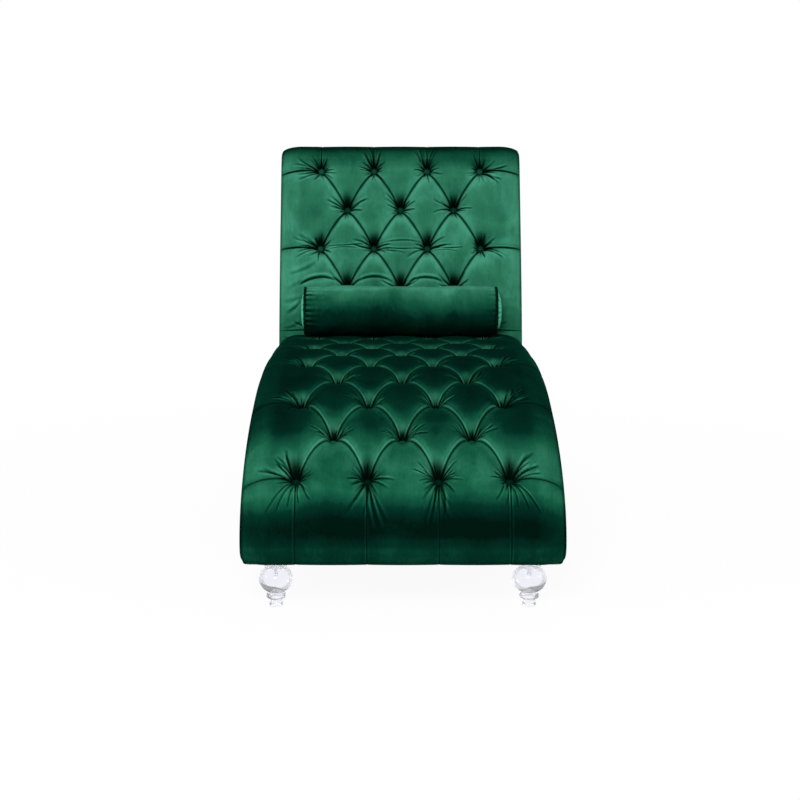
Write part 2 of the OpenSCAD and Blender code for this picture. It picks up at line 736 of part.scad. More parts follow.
// Zigzag springs: one wire swept along straight runs joined by half circles
wire_r = wire_d / 2;
wire_gap = 1.4;
wire_end = 2;
clip_reach = 14;
loop_r = 11;
loop_n = 5;
spring_loops = 2 * floor((rail_x - clip_reach) / (2 * loop_r)) - 1;
spring_half = spring_loops * loop_r;
run = spring_w / 2 - loop_r;
function spring_route() = concat(
    [[-rail_x + wire_end, -run]],
    [for (k = [0:spring_loops - 1], i = [0:loop_n])
        let (up = k % 2 == 0 ? 1 : -1, a = 180 * i / loop_n)
        [-spring_half + (2 * k + 1) * loop_r - loop_r * cos(a), up * (run + loop_r * sin(a))]],
    [[rail_x - wire_end, -run]]);

module swept_wire(route, r, sides) {
    n = len(route);
    points = [for (i = [0:n - 1])
        let (p = route[i], way = route[min(n - 1, i + 1)] - route[max(0, i - 1)], t = way / norm(way))
        for (j = [0:sides - 1])
            let (a = 45 + 360 * j / sides)
            [p.x - t.y * r * cos(a), p.y + t.x * r * cos(a), r * sin(a)]];
    faces = concat(
        [[for (j = [0:sides - 1]) j]],
        [for (i = [0:n - 2], j = [0:sides - 1], k = [0:1])
            let (a = i * sides + j, b = i * sides + (j + 1) % sides)
            k == 0 ? [a, a + sides, b + sides] : [a, b + sides, b]],
        [[for (j = [sides - 1:-1:0]) (n - 1) * sides + j]]);
    polyhedron(points, faces, convexity = 10);
}

// Places across the couch at equal steps under the foam, as [distance, height, normal, normal];
// where the springs would crowd each other there are fewer
spring_gap = 12;
function spring_spots(st, depth, from, to, row, wanted) =
    let (n = min(wanted, 1 + floor((to - from) * row / steps / (spring_w + spring_gap))))
    [for (i = [0:n - 1]) let (t = from + (to - from) * (n > 1 ? i / (n - 1) : 0.5), k = floor(t), f = t - k,
            p = st[k] * (1 - f) + st[k + 1] * f, d = depth[k] * (1 - f) + depth[k + 1] * f)
        [p[0] - (d + wire_r + wire_gap) * p[2], p[1] - (d + wire_r + wire_gap) * p[3], p[2], p[3]]];
seat_spots =
    spring_spots(seat_st, seat_foam_at, first_row_i + 3.5, last_row_i - 0.5, seat_row, seat_springs_n);
back_spots =
    spring_spots(back_st, back_foam_at, low_row_i + 2.5, top_row_i - 2.5, back_row, back_springs_n);

module at_spots(spots) {
    for (p = spots)
        translate([0, p[0] - body_l / 2, p[1]])
            rotate([-atan2(p[2], p[3]), 0, 0])
                children();
}

module seat_springs() {
    color([0.45, 0.46, 0.48])
        at_spots(seat_spots)
            swept_wire(spring_route(), wire_r, 4);
}

module back_springs() {
    color([0.45, 0.46, 0.48])
        at_spots(back_spots)
            swept_wire(spring_route(), wire_r, 4);
}

// Clips hook each spring's end to the inner face of a side frame
clip_l = 34;
clip_h = 14;
clip_t = 5;
module clip_pair() {
    for (side = [-1, 1])
        translate([side * rail_x, 0, 0])
            mirror([side > 0 ? 1 : 0, 0, 0])
                translate([0, -clip_l / 2 - run / 2, -clip_h])
                    cube([clip_t, clip_l, clip_h - wire_r - play]);
}

module spring_clips() {
    color([0.60, 0.58, 0.52])
        at_spots(concat(seat_spots, back_spots))
            clip_pair();
}

// Side panels: velvet on board over the side frames, up to the edge line
module side_cover(x0) {
    across(x0, x0 + side_cover_t)
        polygon(concat(flat_line(seat_st), flat_line(back_st), rear_skin_line, [frame_toe]));
}

module side_cover_left() {
    color([0.07, 0.38, 0.27])
        side_cover(-half_w);
}

module side_cover_right() {
    color([0.07, 0.38, 0.27])
        side_cover(panel_x);
}

module outside_back_cover() {
    color([0.07, 0.38, 0.27])
        across(-panel_x, panel_x)
            polygon(concat(flat_line(rear_line), reversed(rear_skin_line)));
}

module dust_cover() {
    color([0.10, 0.10, 0.11])
        difference() {
            translate([-panel_x, frame_toe.x - body_l / 2, base_z - dust_t])
                cube([2 * panel_x, rear_at - frame_toe.x, dust_t]);
            for (f = feet)
                translate([f.x, f.y - body_l / 2, base_z - dust_t - 1])
                    cylinder(d = collar_d + 2 * play, h = dust_t + 2, $fn = 64);
        }
}

// The bolster lies on the highest pillows under it and against the back, where it can be lifted off
bolster_r = bolster_d / 2;
function skin_points(st, heights, from) =
    [for (i = [from:len(st) - 2], f = [0, 0.25, 0.5, 0.75], j = [0:len(cols) - 1])
        if (abs(cols[j]) < bolster_l / 2 + bolster_dome)
            let (h = heights[i][j] * (1 - f) + heights[i + 1][j] * f, p = st[i] * (1 - f) + st[i + 1] * f)
            [p[0] + h * p[2], p[1] + h * p[3]]];
seat_skin = skin_points(seat_st, seat_heights, first_row_i);
back_skin = skin_points(back_st, back_heights, 0);
function round_reach(off) = sqrt(max(0, pow(bolster_r, 2) - off * off));
function height_on_seat(at) =
    play + max([for (p = seat_skin) abs(p.x - at) < bolster_r ? p.y + round_reach(p.x - at) : 0]);
function place_at_back(z) = -bolster_set - play
    + min([for (p = back_skin)
        p.y > z ? p.x - bolster_r : z - p.y < bolster_r ? p.x - round_reach(z - p.y) : body_l]);
first_z = height_on_seat(place_at_back(crease_h + seat_crest + bolster_r));
bolster_y = place_at_back(first_z);
bolster_z = height_on_seat(bolster_y);
seam_r = bolster_r - bolster_pull / 2;
piping_r = piping_d / 2;

module on_bolster() {
    translate([0, bolster_y - body_l / 2, bolster_z])
        rotate([0, 90, 0])
            children();
}

// Outline of the tube: fullest in the middle, drawn in at the seams
function tube_line(inset, x_end, n) =
    [for (i = [-n:n])
        [seam_r - inset + bolster_pull / 2 * sqrt(1 - pow(i / n, 4)), x_end * i / n]];

module bolster_cover() {
    color([0.10, 0.46, 0.33])
        on_bolster()
            rotate_extrude($fn = 96)
                polygon(concat(tube_line(0, bolster_l / 2, 10),
                    reversed(tube_line(bolster_cover_t, bolster_l / 2, 10))));
}

module bolster_piping(side) {
    color([0.04, 0.26, 0.18])
        on_bolster()
            translate([0, 0, side * (bolster_l / 2 + piping_r + play)])
                rotate_extrude($fn = 96)
                    translate([seam_r - piping_r + 1, 0])
                        circle(r = piping_r, $fn = 24);
}

module bolster_piping_left() {
    bolster_piping(-1);
}

module bolster_piping_right() {
    bolster_piping(1);
}

// The domed ends are slices of a sphere inside the piping
end_r = seam_r - 2 * piping_r + 1 - play;
end_x = bolster_l / 2 + play;
dome_rise = bolster_dome - play;
dome_sphere_r = (pow(end_r, 2) + pow(dome_rise, 2)) / (2 * dome_rise);

module bolster_end(side) {
    color([0.12, 0.50, 0.36])
        on_bolster()
            mirror([0, 0, side > 0 ? 0 : 1])
                translate([0, 0, end_x])
                    intersection() {
                        difference() {
                            translate([0, 0, dome_rise - dome_sphere_r])
                                sphere(r = dome_sphere_r, $fn = 96);
                            translate([0, 0, dome_rise - dome_sphere_r])
                                sphere(r = dome_sphere_r - bolster_cover_t, $fn = 96);
                        }
                        cylinder(r = end_r, h = bolster_dome + 1, $fn = 96);
                    }
}

module bolster_end_left() {
    bolster_end(-1);
}

module bolster_end_right() {
    bolster_end(1);
}

module bolster_filling() {
    color([0.95, 0.95, 0.93])
        on_bolster()
            rotate_extrude($fn = 96)
                polygon(concat([[0, -bolster_l / 2]], tube_line(bolster_cover_t + play, bolster_l / 2, 10),
                    [[0, bolster_l / 2]]));
}

leg_front_left();
leg_front_right();
leg_rear_left();
leg_rear_right();
leg_bolts();
t_nuts();
corner_block_front_left();
corner_block_front_right();
corner_block_rear_left();
corner_block_rear_right();
side_frame_left();
side_frame_right();
front_rail();
middle_rail();
crease_rail();
rear_rail();
back_rail();
head_rail();
frame_screws();
nose_board();
seat_springs();
back_springs();
spring_clips();
seat_foam();
back_foam();
seat_cover();
back_cover();
seat_buttons();
back_buttons();
side_cover_left();
side_cover_right();
outside_back_cover();
dust_cover();
bolster_filling();
bolster_cover();
bolster_end_left();
bolster_end_right();
bolster_piping_left();
bolster_piping_right();
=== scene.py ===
# %% [markdown]
# # A fainting couch in green velvet
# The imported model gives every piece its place. This lesson dresses it: the tufted velvet of seat
# and back, the plain velvet of the sides, the loose bolster, the clear turned feet, and the wood
# and steel inside. Lengths are metres, the foot end looks towards -Y and the back stands at +Y.

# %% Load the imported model
import math

import bpy
import numpy as np
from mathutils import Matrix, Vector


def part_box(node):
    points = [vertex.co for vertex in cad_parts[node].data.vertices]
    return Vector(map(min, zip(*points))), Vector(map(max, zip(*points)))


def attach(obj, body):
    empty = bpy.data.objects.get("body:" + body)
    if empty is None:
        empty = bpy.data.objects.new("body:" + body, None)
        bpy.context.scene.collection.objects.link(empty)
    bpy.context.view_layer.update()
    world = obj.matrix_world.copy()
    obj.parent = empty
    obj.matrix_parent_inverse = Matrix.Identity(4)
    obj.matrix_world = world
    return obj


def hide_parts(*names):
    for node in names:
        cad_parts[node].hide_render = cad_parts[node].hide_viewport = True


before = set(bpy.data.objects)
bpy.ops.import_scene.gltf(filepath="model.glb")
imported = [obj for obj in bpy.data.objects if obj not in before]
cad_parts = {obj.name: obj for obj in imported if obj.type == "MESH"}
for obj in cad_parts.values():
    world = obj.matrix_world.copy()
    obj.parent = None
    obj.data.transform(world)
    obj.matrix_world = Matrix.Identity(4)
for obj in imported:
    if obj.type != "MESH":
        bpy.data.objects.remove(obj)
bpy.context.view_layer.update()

print("nodes in the packed model:", len(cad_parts))

# %% [markdown]
# ## Camera
# The couch was photographed from its foot end, a little above seat height, with a longish lens. The
# camera stands where the couch's outline says: 3.1 m in front of it, 1.02 m up and tilted down 10.5
# degrees. The small shift moves the picture six pixels to the left.

# %% Camera
tilt_down = 10.5
camera_data = bpy.data.cameras.new("camera")
camera_data.lens = 74.25
camera_data.sensor_width = 36.0
camera_data.shift_x = 0.00775
camera = bpy.data.objects.new("camera", camera_data)
camera.location = (-0.018, -3.836, 1.019)
camera.rotation_euler = (math.radians(90 - tilt_down), 0, 0)
bpy.context.scene.collection.objects.link(camera)
bpy.context.scene.camera = camera
bpy.context.scene.view_settings.view_transform = "Standard"
print("camera", tuple(round(c, 3) for c in camera.location))

# %% [markdown]
# ## Side lines
# Seen from the side the couch is one S: a lip, a round nose, a hollow that rises to the knee, the
# crease, a leaning back and a head roll. Curves with four handles (cubic curves) draw it. A line is
# walked by its length, because fabric is measured along the surface and not along the floor.

# %% Curves and lines
half_width = 0.320
half_length = 0.740


def curve(handles, steps=200):
    """Four handle points weighted by (1-t)^3, 3t(1-t)^2, 3t^2(1-t) and t^3."""
    t = np.linspace(0, 1, steps + 1)[:, None]
    p = np.asarray(handles, float)
    return ((1 - t) ** 3 * p[0] + 3 * t * (1 - t) ** 2 * p[1]
            + 3 * t ** 2 * (1 - t) * p[2] + t ** 3 * p[3])


def arc(centre, radius, start, end, steps=60):
    """Points at one radius round a centre, from the start angle to the end angle in degrees."""
    angle = np.radians(np.linspace(start, end, steps + 1))
    return np.asarray(centre) + radius * np.stack([np.cos(angle), np.sin(angle)], 1)


def chained(*runs):
    """Runs of points one after another, each without the first point, which it shares."""
    return np.vstack([runs[0]] + [run[1:] for run in runs[1:]])


class Line:
    """A side line as distance from the foot end and height, walked by its length."""

    def __init__(self, points):
        self.points = points
        steps = np.linalg.norm(np.diff(points, axis=0), axis=1)
        self.run = np.concatenate([[0], np.cumsum(steps)])
        self.length = self.run[-1]

    def at(self, s):
        """The point at length s; beyond either end the line goes straight on."""
        inside = np.clip(s, 0, self.length)
        place = np.stack([np.interp(inside, self.run, self.points[:, k]) for k in (0, 1)], -1)
        first = self.points[1] - self.points[0]
        last = self.points[-1] - self.points[-2]
        beyond = np.asarray(s) - inside
        ahead = np.where((beyond > 0)[..., None], last / np.linalg.norm(last),
                         first / np.linalg.norm(first))
        return place + beyond[..., None] * ahead

    def normal(self, s, reach=0.004):
        """The direction outwards: the walk from s-reach to s+reach, a quarter turn to the left."""
        walk = self.at(np.asarray(s) + reach) - self.at(np.asarray(s) - reach)
        walk /= np.linalg.norm(walk, axis=-1, keepdims=True)
        return np.stack([-walk[..., 1], walk[..., 0]], -1)


def heading(angle):
    """A unit step at an angle above the floor, in degrees, as distance and height."""
    return np.array([math.cos(math.radians(angle)), math.sin(math.radians(angle))])


lip = curve([(0.096, 0.098), (0.066, 0.118), (0.028, 0.122), (0.028, 0.150)])
nose = curve([(0.028, 0.150), (0.028, 0.250), (0.258, 0.378), (0.680, 0.378)])
knee = curve([(0.680, 0.378), (0.850, 0.378), (1.010, 0.364), (1.203, 0.358)])
seat_line = Line(chained(lip, nose, knee))
nose_s = Line(lip).length
seat_end = seat_line.length

lean_low, lean_top = 12, 22
roll_centre = np.array([1.422, 0.812])
roll_radius = 0.046
roll_end = -15
roll_start = roll_centre + roll_radius * heading(180 - lean_top)
back_foot = np.array([1.2063, 0.358])
lean = curve([back_foot, back_foot + 0.150 * heading(90 - lean_low),
              roll_start - 0.170 * heading(90 - lean_top), roll_start])
back_line = Line(chained(lean, arc(roll_centre, roll_radius, 180 - lean_top, roll_end)))
back_end = back_line.length

rear_foot = (1.350, 0.090)
rear_top = roll_centre + 0.036 * heading(roll_end)
rear_line = Line(curve([rear_top, rear_top + 0.190 * heading(roll_end - 90), (1.350, 0.330),
                        rear_foot]))
print("seat %.3f m along, back %.3f m" % (seat_end, back_end))

# %% [markdown]
# ## Building meshes
# A surface is a grid of points, worked out with whole arrays. Blender wants a flat list of corners
# and where each face starts; foreach_set takes both in one go, which is fast for large grids.

# %% Mesh helpers
def grid_corners(rows, cols, first=0, flip=False, tube=False):
    """Quads of a grid whose points are numbered row by row, counter-clockwise seen from outside.
    In a tube the last column joins the first."""
    i, j = np.meshgrid(np.arange(rows - 1), np.arange(cols if tube else cols - 1), indexing="ij")
    a = first + i * cols + j
    b = first + i * cols + (j + 1) % cols
    quads = np.stack([a, b, b + cols, a + cols], -1).reshape(-1, 4)
    return quads[:, ::-1] if flip else quads


def angles(count):
    """Angles of a full turn as one row."""
    return (np.arange(count) * 2 * math.pi / count)[None]


def new_mesh(name, points, face_groups, soft=True):
    """A mesh from points and groups of faces; a group has one row of corners for each face."""
    mesh = bpy.data.meshes.new(name)
    counts = np.concatenate([np.full(len(g), np.shape(g)[1]) for g in face_groups])
    corners = np.concatenate([np.asarray(g).ravel() for g in face_groups]).astype(np.int32)
    starts = np.concatenate([[0], np.cumsum(counts)[:-1]]).astype(np.int32)
    mesh.vertices.add(len(points))
    mesh.vertices.foreach_set("co", np.asarray(points, np.float32).ravel())
    mesh.loops.add(len(corners))
    mesh.polygons.add(len(counts))
    mesh.polygons.foreach_set("loop_start", starts)
    mesh.polygons.foreach_set("vertices", corners)
    mesh.polygons.foreach_set("use_smooth", np.full(len(counts), soft))
    mesh.update(calc_edges=True)
    mesh.validate()
    return mesh


def add_piece(name, mesh, finish, body, node):
    """An object at the origin that rides on a body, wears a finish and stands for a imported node."""
    piece = bpy.data.objects.new(name, mesh)
    bpy.context.scene.collection.objects.link(piece)
    mesh.materials.append(finish)
    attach(piece, body)
    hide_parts(node)
    print(name, len(mesh.polygons), "faces")
    return piece


def give_painted_light(mesh, fold, nap):
    """Two numbers at every point for the velvet, both painted light and shade: how dark it is painted
    in the shade of a fold, how light it is painted where it would catch the light.
    """
    for name, values in (("fold", fold), ("nap", nap)):
        layer = mesh.attributes.new(name, "FLOAT", "POINT")
        layer.data.foreach_set("value", np.full(len(mesh.vertices), np.ravel(values), np.float32))


def lifted(line, x, s, height):
    """Points x across the couch, at line(s) + normal*height seen from the side."""
    place = line.at(s) + line.normal(s) * np.asarray(height)[..., None]
    return np.stack([x, place[..., 0] - half_length, place[..., 1]], -1)


def closed_slab(name, outer, inner):
    """Two grids of one size, face to face, joined round their border into a closed shell."""
    rows, cols = outer.shape[:2]
    number = np.arange(rows * cols).reshape(rows, cols)
    border = np.concatenate([number[0, :-1], number[:-1, -1], number[-1, :0:-1], number[:0:-1, 0]])
    ahead = np.roll(border, -1)
    shift = rows * cols
    rim = np.stack([ahead, border, border + shift, ahead + shift], -1)
    points = np.concatenate([outer.reshape(-1, 3), inner.reshape(-1, 3)])
    return new_mesh(name, points, [grid_corners(rows, cols),
                                   grid_corners(rows, cols, shift, flip=True), rim])


# %% [markdown]
# ## Finishes
# A finish is a small program of nodes. One class wraps a socket so that Python's signs add the Math
# nodes, and one method adds any other node from its type, its settings and its inputs.

# %% Shader helpers
def sign(operation, turned=False):
    """What a sign does between numbers: it adds one Math node; turned puts the other one first."""
    def added(self, other):
        first, second = (other, self) if turned else (self, other)
        return self.math(operation, first, second)
    return added


class Value:
    """A number socket that + - * ** work on; each sign adds one Math node and wraps its result."""

    __add__, __radd__ = sign("ADD"), sign("ADD", turned=True)
    __sub__, __rsub__ = sign("SUBTRACT"), sign("SUBTRACT", turned=True)
    __mul__, __rmul__ = sign("MULTIPLY"), sign("MULTIPLY", turned=True)
    __pow__, __rpow__ = sign("POWER"), sign("POWER", turned=True)

    def __init__(self, finish, socket):
        self.finish = finish
        self.socket = socket

    def math(self, operation, first, second, clamp=False):
        """One Math node on two numbers; clamp holds its result between 0 and 1."""
        node = self.finish.add("ShaderNodeMath", {"operation": operation, "use_clamp": clamp},
                               {0: first, 1: second})
        return node["Value"]

    def kept(self):
        """The number held between 0 and 1."""
        return self.math("ADD", self, 0.0, clamp=True)


class Added:
    """A node that was added; its outputs come by name."""

    def __init__(self, finish, node):
        self.finish = finish
        self.node = node

    def __getitem__(self, output):
        return Value(self.finish, self.node.outputs[output])


class Finish:
    """A material, or another owner of nodes, built up from a shader and the nodes that feed it."""

    def __init__(self, name, owner=None):
        self.owner = owner or bpy.data.materials.new(name)
        self.owner.use_nodes = True
        self.tree = self.owner.node_tree
        self.tree.nodes.clear()

    def add(self, kind, settings=None, inputs=None):
        """Any node: its type, its settings, then the numbers, colours or links of its sockets."""
        node = self.tree.nodes.new(kind)
        for key, value in (settings or {}).items():
            if key == "stops":
                ramp = node.color_ramp
                while len(ramp.elements) < len(value):
                    ramp.elements.new(0.5)
                for stop, (place, colour) in zip(ramp.elements, value):
                    stop.position = place
                    stop.color = (*colour, 1)
            else:
                setattr(node, key, value)
        for key, value in (inputs or {}).items():
            if isinstance(value, Value):
                self.tree.links.new(value.socket, node.inputs[key])
            elif isinstance(value, tuple) and len(value) == 3 and node.inputs[key].type == "RGBA":
                node.inputs[key].default_value = (*value, 1)
            else:
                node.inputs[key].default_value = value
        return Added(self, node)

    def place(self):
        """Where a point is on the object, in metres."""
        return self.add("ShaderNodeTexCoord")["Object"]

    def number(self, name):
        """A number that the mesh holds at its points."""
        return self.add("ShaderNodeAttribute", {"attribute_name": name})["Fac"]

    def noise(self, where, scale, detail=2.0, rough=0.5, warp=0.0):
        """Clouds from 0 to 1, with so many lumps to the metre."""
        sockets = {"Vector": where, "Scale": scale, "Detail": detail, "Roughness": rough,
                   "Distortion": warp}
        return self.add("ShaderNodeTexNoise", None, sockets)["Fac"]

    def streaks(self, where, scales, detail=2.0, rough=0.5, warp=0.0):
        """The same clouds with a scale of its own along each axis."""
        drawn = self.add("ShaderNodeMapping", None, {"Vector": where, "Scale": scales})["Vector"]
        return self.noise(drawn, 1.0, detail, rough, warp)

    def mixed(self, amount, low, high):
        """A colour between two colours."""
        return self.add("ShaderNodeMix", {"data_type": "RGBA"}, {0: amount, 6: low, 7: high})[2]

    def bumped(self, height, strength, distance):
        """The direction of a surface with fine relief on it."""
        return self.add("ShaderNodeBump", None, {"Height": height, "Strength": strength,
                                                 "Distance": distance})["Normal"]

    def surface(self, **sockets):
        """The Principled shader with its sockets set, linked to the output."""
        names = {key.replace("_", " "): value for key, value in sockets.items()}
        return self.finished(self.add("ShaderNodeBsdfPrincipled", None, names)["BSDF"])

    def finished(self, shader):
        """The shader linked to the output, and the material with all its nodes."""
        self.add("ShaderNodeOutputMaterial", None, {"Surface": shader})
        return self.owner


# %% [markdown]
# ## Velvet
# Velvet is a short upright pile. Where the pile leans towards the eye it looks deep and almost
# black, where it leans away it shines. That light and shade is painted into the colour: the mesh
# holds two numbers, how light a point is painted where the pile would catch the light, and how dark
# it is painted in the shade of a fold, a pit or a seam. Noise adds the brushed patches that every
# velvet has, and a fine bump is the pile itself. The shader's sheen is only a trace, as the painted
# light does its work.

# %% Velvet finish
# Tones of the velvet, from painted shade near black up to painted light.
green_tones = [(0.0, (0.0003, 0.0055, 0.0032)), (0.25, (0.0009, 0.0220, 0.0130)),
               (0.5, (0.0055, 0.0720, 0.0385)), (0.75, (0.0215, 0.1450, 0.0820)),
               (1.0, (0.0480, 0.2500, 0.1580))]
# Near black painted into folds, pits and seams as their shade.
painted_shade_black = (0.0003, 0.003, 0.0018)
sheen_green = (0.05, 0.80, 0.48)


def velvet(name, tones, mottled):
    """Base colour runs through the tones with the painted light, and to a painted near-black shade in
    the folds.
    """
    f = Finish(name)
    where = f.place()
    patches = f.noise(where, 9.0, 3.0, 0.55, 0.6)
    brushed = f.streaks(where, (60.0, 16.0, 16.0), 3.0, 0.6)
    hairs = f.streaks(where, (330.0, 90.0, 90.0), 2.0, 0.6)
    crushed = f.noise(where, 130.0, 2.0, 0.6)
    pile = f.noise(where, 1400.0, 1.0, 0.5)
    speck = f.noise(where, 420.0, 2.0, 0.7)
    level = (f.number("nap") * (0.56 + patches * 0.50 + brushed * 0.30 + crushed * 0.08)
             + (patches - 0.5) * mottled + speck * 0.07 + hairs * 0.13 - 0.100).kept()
    cloth = f.add("ShaderNodeValToRGB", {"stops": tones}, {"Fac": level})["Color"]
    return f.surface(Base_Color=f.mixed(f.number("fold").kept(), cloth, painted_shade_black),
                     Roughness=0.62 + patches * 0.2, Specular_IOR_Level=0.0, Sheen_Weight=0.02,
                     Sheen_Roughness=0.30, Sheen_Tint=sheen_green,
                     Normal=f.bumped(pile + speck * 0.8 + brushed * 0.5, 0.35, 0.0008))


green = velvet("velvet_green", green_tones, mottled=0.22)
bolster_green = velvet("velvet_bolster", green_tones, mottled=0.55)
# The bolster's ends get a copy of the velvet twice as light: painted sheen and light where they face
# the side lamps.
painted_light_end_tones = [(place, tuple(2.0 * c for c in tone)) for place, tone in green_tones]
painted_light_end_green = velvet("velvet_bolster_ends_painted_light", painted_light_end_tones, mottled=0.2)
print("velvet:", green.name, bolster_green.name, painted_light_end_green.name)

# %% [markdown]
# ## Diamond tufting
# Buttons pull the fabric down at the points of a lattice, and between neighbours the fabric folds
# into pleats. The lattice has steps a across the couch and b along it, and a button sits wherever
# a+b is odd. A pleat is then a line on which a+b or a-b is odd. The grid of points follows the
# lattice, so pleats run exactly through its points and stay sharp, and the grid is drawn together
# near the buttons, where the fabric is gathered. Each pleat sags into an arch: it leaves the upper
# button level and comes down steeply on the lower one.

# %% Lattice of the tufting
half_pitch = 0.0705
outer_a = 3
outer_x = 2.8 * half_pitch
side_reach = half_width / half_pitch
wave_soft = 0.16
cells = 44


def bell(off, width):
    """A bell curve: exp(-(off/width)^2)."""
    return np.exp(-(off / width) ** 2)


def quarter_round(gap, radius):
    """From 0 at an edge to 1 a radius away from it: sqrt(1 - (1 - gap/radius)^2)."""
    return np.sqrt(1 - (1 - np.clip(gap / radius, 0, 1)) ** 2)


def side_fall(x):
    """How the filling falls off at both side edges."""
    return quarter_round(half_width - np.abs(x), 0.055)


def to_odd(t):
    """How far a number is past the nearest odd one, from -1 to 1."""
    return np.mod(t, 2) - 1


def sag(a):
    """How far a pleat hangs below the straight line between two buttons: |sin(pi a)|, softened."""
    wave = np.sqrt(np.sin(math.pi * a) ** 2 + wave_soft ** 2) - wave_soft
    return np.where(np.abs(a) <= outer_a, wave, 0)


def droop(a):
    """How far the level pleats beside the outer buttons fall towards the side edge: a parabola."""
    past = np.clip(np.abs(a) - outer_a, 0, None) / (side_reach - outer_a)
    return past ** 2 - 0.35 * past * (1 - past)


def gathered(first, last, pinch=0.45):
    """Steps drawn together near whole numbers: t - pinch*sin(2 pi t)/(2 pi)."""
    t = np.linspace(first, last, (last - first) * cells + 1)
    return t - pinch * np.sin(2 * math.pi * t) / (2 * math.pi)


def widening(start, end, steps, power=1.3):
    """Steps that grow from the start to the end, by t^power; the start itself is left out."""
    return start + (end - start) * np.linspace(0, 1, steps + 1)[1:] ** power


def tuft_lattice(rows, before, after, steps_before, steps_after):
    """Lattice places a and b of the whole grid, which reaches so far before the first row and up to
    after, and how freely the pleats sag there: sin^2, from 0 at both ends to 1 at the buttons."""
    sides = widening(outer_a, side_reach, 44)
    a, b = np.meshgrid(np.concatenate([-sides[::-1], gathered(-outer_a, outer_a), sides]),
                       np.concatenate([-widening(0, before, steps_before)[::-1],
                                       gathered(0, rows - 1),
                                       widening(rows - 1, after, steps_after)]))
    free = (np.sin(np.clip(1 + b / before, 0, 1) * math.pi / 2) ** 2
            * np.sin(np.clip((after - b) / (after - rows + 1), 0, 1) * math.pi / 2) ** 2)
    return a, b, free


def eased(s, stops, values, blur=0.012):
    """Straight runs between the stops, with the corners rounded by a mean over nearby lengths."""
    return sum(share * np.interp(s + step * blur, stops, values)
               for step, share in ((-1, 0.25), (0, 0.5), (1, 0.25)))


def softened(field, times):
    """Every number mixed with its neighbours, a quarter, a half and a quarter, again and again."""
    for _ in range(times):
        for axis in (0, 1):
            before = np.roll(field, 1, axis)
            after = np.roll(field, -1, axis)
            edge = [slice(None)] * 2
            mixed = 0.25 * before + 0.5 * field + 0.25 * after
            for end in (0, -1):
                edge[axis] = end
                mixed[tuple(edge)] = field[tuple(edge)]
            field = mixed
    return field


# %% [markdown]
# Round every button the fabric is gathered, so fine wrinkles run outwards like spokes. Each spoke
# has a direction, a length, a width and a bend of its own, drawn with a fixed seed. A point only
# looks at the spokes of its nearest button. Longer wrinkles between buttons are single arcs.

# %% Wrinkles
def nearest_button(x, s, button_x, button_s):
    """Distance and direction from the nearest button, and which one it is."""
    nearest = np.full(x.shape, 9.0)
    owner = np.zeros(x.shape, int)
    for k in range(len(button_x)):
        gap = np.hypot(x - button_x[k], s - button_s[k])
        closer = gap < nearest
        nearest = np.where(closer, gap, nearest)
        owner = np.where(closer, k, owner)
    angle = np.arctan2(s - button_s[owner], x - button_x[owner])
    return nearest, owner, angle


def furrow(off, width):
    """A furrow with a low ridge beside it: 0.4 of a bell 1.8 widths away, less a bell."""
    return 0.4 * bell(off - 1.8 * width, width) - bell(off, width)


def spoke_wrinkles(nearest, owner, angle, spokes):
    """Furrows along every spoke, and how far the painted shade of the star round the button flares
    there.
    """
    height = np.zeros(nearest.shape)
    flare = np.zeros(nearest.shape)
    for j in range(spokes.shape[1]):
        turn, length, width, depth, bend = (spokes[owner, j, q] for q in range(5))
        off = np.mod(angle - turn - bend * nearest + math.pi, 2 * math.pi) - math.pi
        side = nearest * np.sin(np.clip(off, -math.pi / 2, math.pi / 2))
        along = np.clip(nearest / length, 0, 2)
        fade = np.clip((nearest - 0.006) / 0.006, 0, 1) * np.clip(1 - along, 0, 1) ** 0.6
        ahead = np.abs(off) < math.pi / 2
        wide = np.maximum(width * (0.55 + 1.2 * along), 0.0005 + 0.034 * nearest)
        height += depth * ahead * fade * furrow(side, wide)
        flare = np.maximum(flare, depth * length * bell(off, 0.15))
    return height, flare / np.max(spokes[..., 3] * spokes[..., 1])


def draw_spokes(rng, short, long, turn_low, turn_high, mirrored, reach):
    """Random spokes for every button: short ones all round, long ones between two angles, with
    every other long one mirrored where that is asked for. A spoke is its turn, length, width,
    depth and bend."""
    buttons = len(turn_low)
    spokes = np.zeros((buttons, short + long, 5))
    even = np.arange(short) / short * 2 * math.pi
    turn_low, turn_high, mirrored, reach = (np.asarray(v, float)[:, None] for v in
                                            (turn_low, turn_high, mirrored, reach))
    turns = turn_low + (turn_high - turn_low) * rng.uniform(0, 1, (buttons, long))
    flip = (mirrored > 0) & (np.arange(long)[None] % 2 == 1)
    spokes[:, :short, 0] = even + rng.uniform(-0.30, 0.30, (buttons, short))
    spokes[:, short:, 0] = np.where(flip, math.pi - turns, turns)
    spokes[:, :short, 1] = (0.016 + 0.028 * rng.uniform(0, 1, (buttons, short)) ** 1.6) * reach
    spokes[:, short:, 1] = rng.uniform(0.040, 0.080, (buttons, long)) * reach
    for quality, few, many in ((2, (0.0009, 0.0014), (0.0012, 0.0019)),
                               (3, (0.0018, 0.0042), (0.0024, 0.0046))):
        spokes[:, :short, quality] = rng.uniform(*few, (buttons, short))
        spokes[:, short:, quality] = rng.uniform(*many, (buttons, long))
    spokes[:, :, 4] = rng.uniform(-4.5, 4.5, (buttons, short + long))
    return spokes


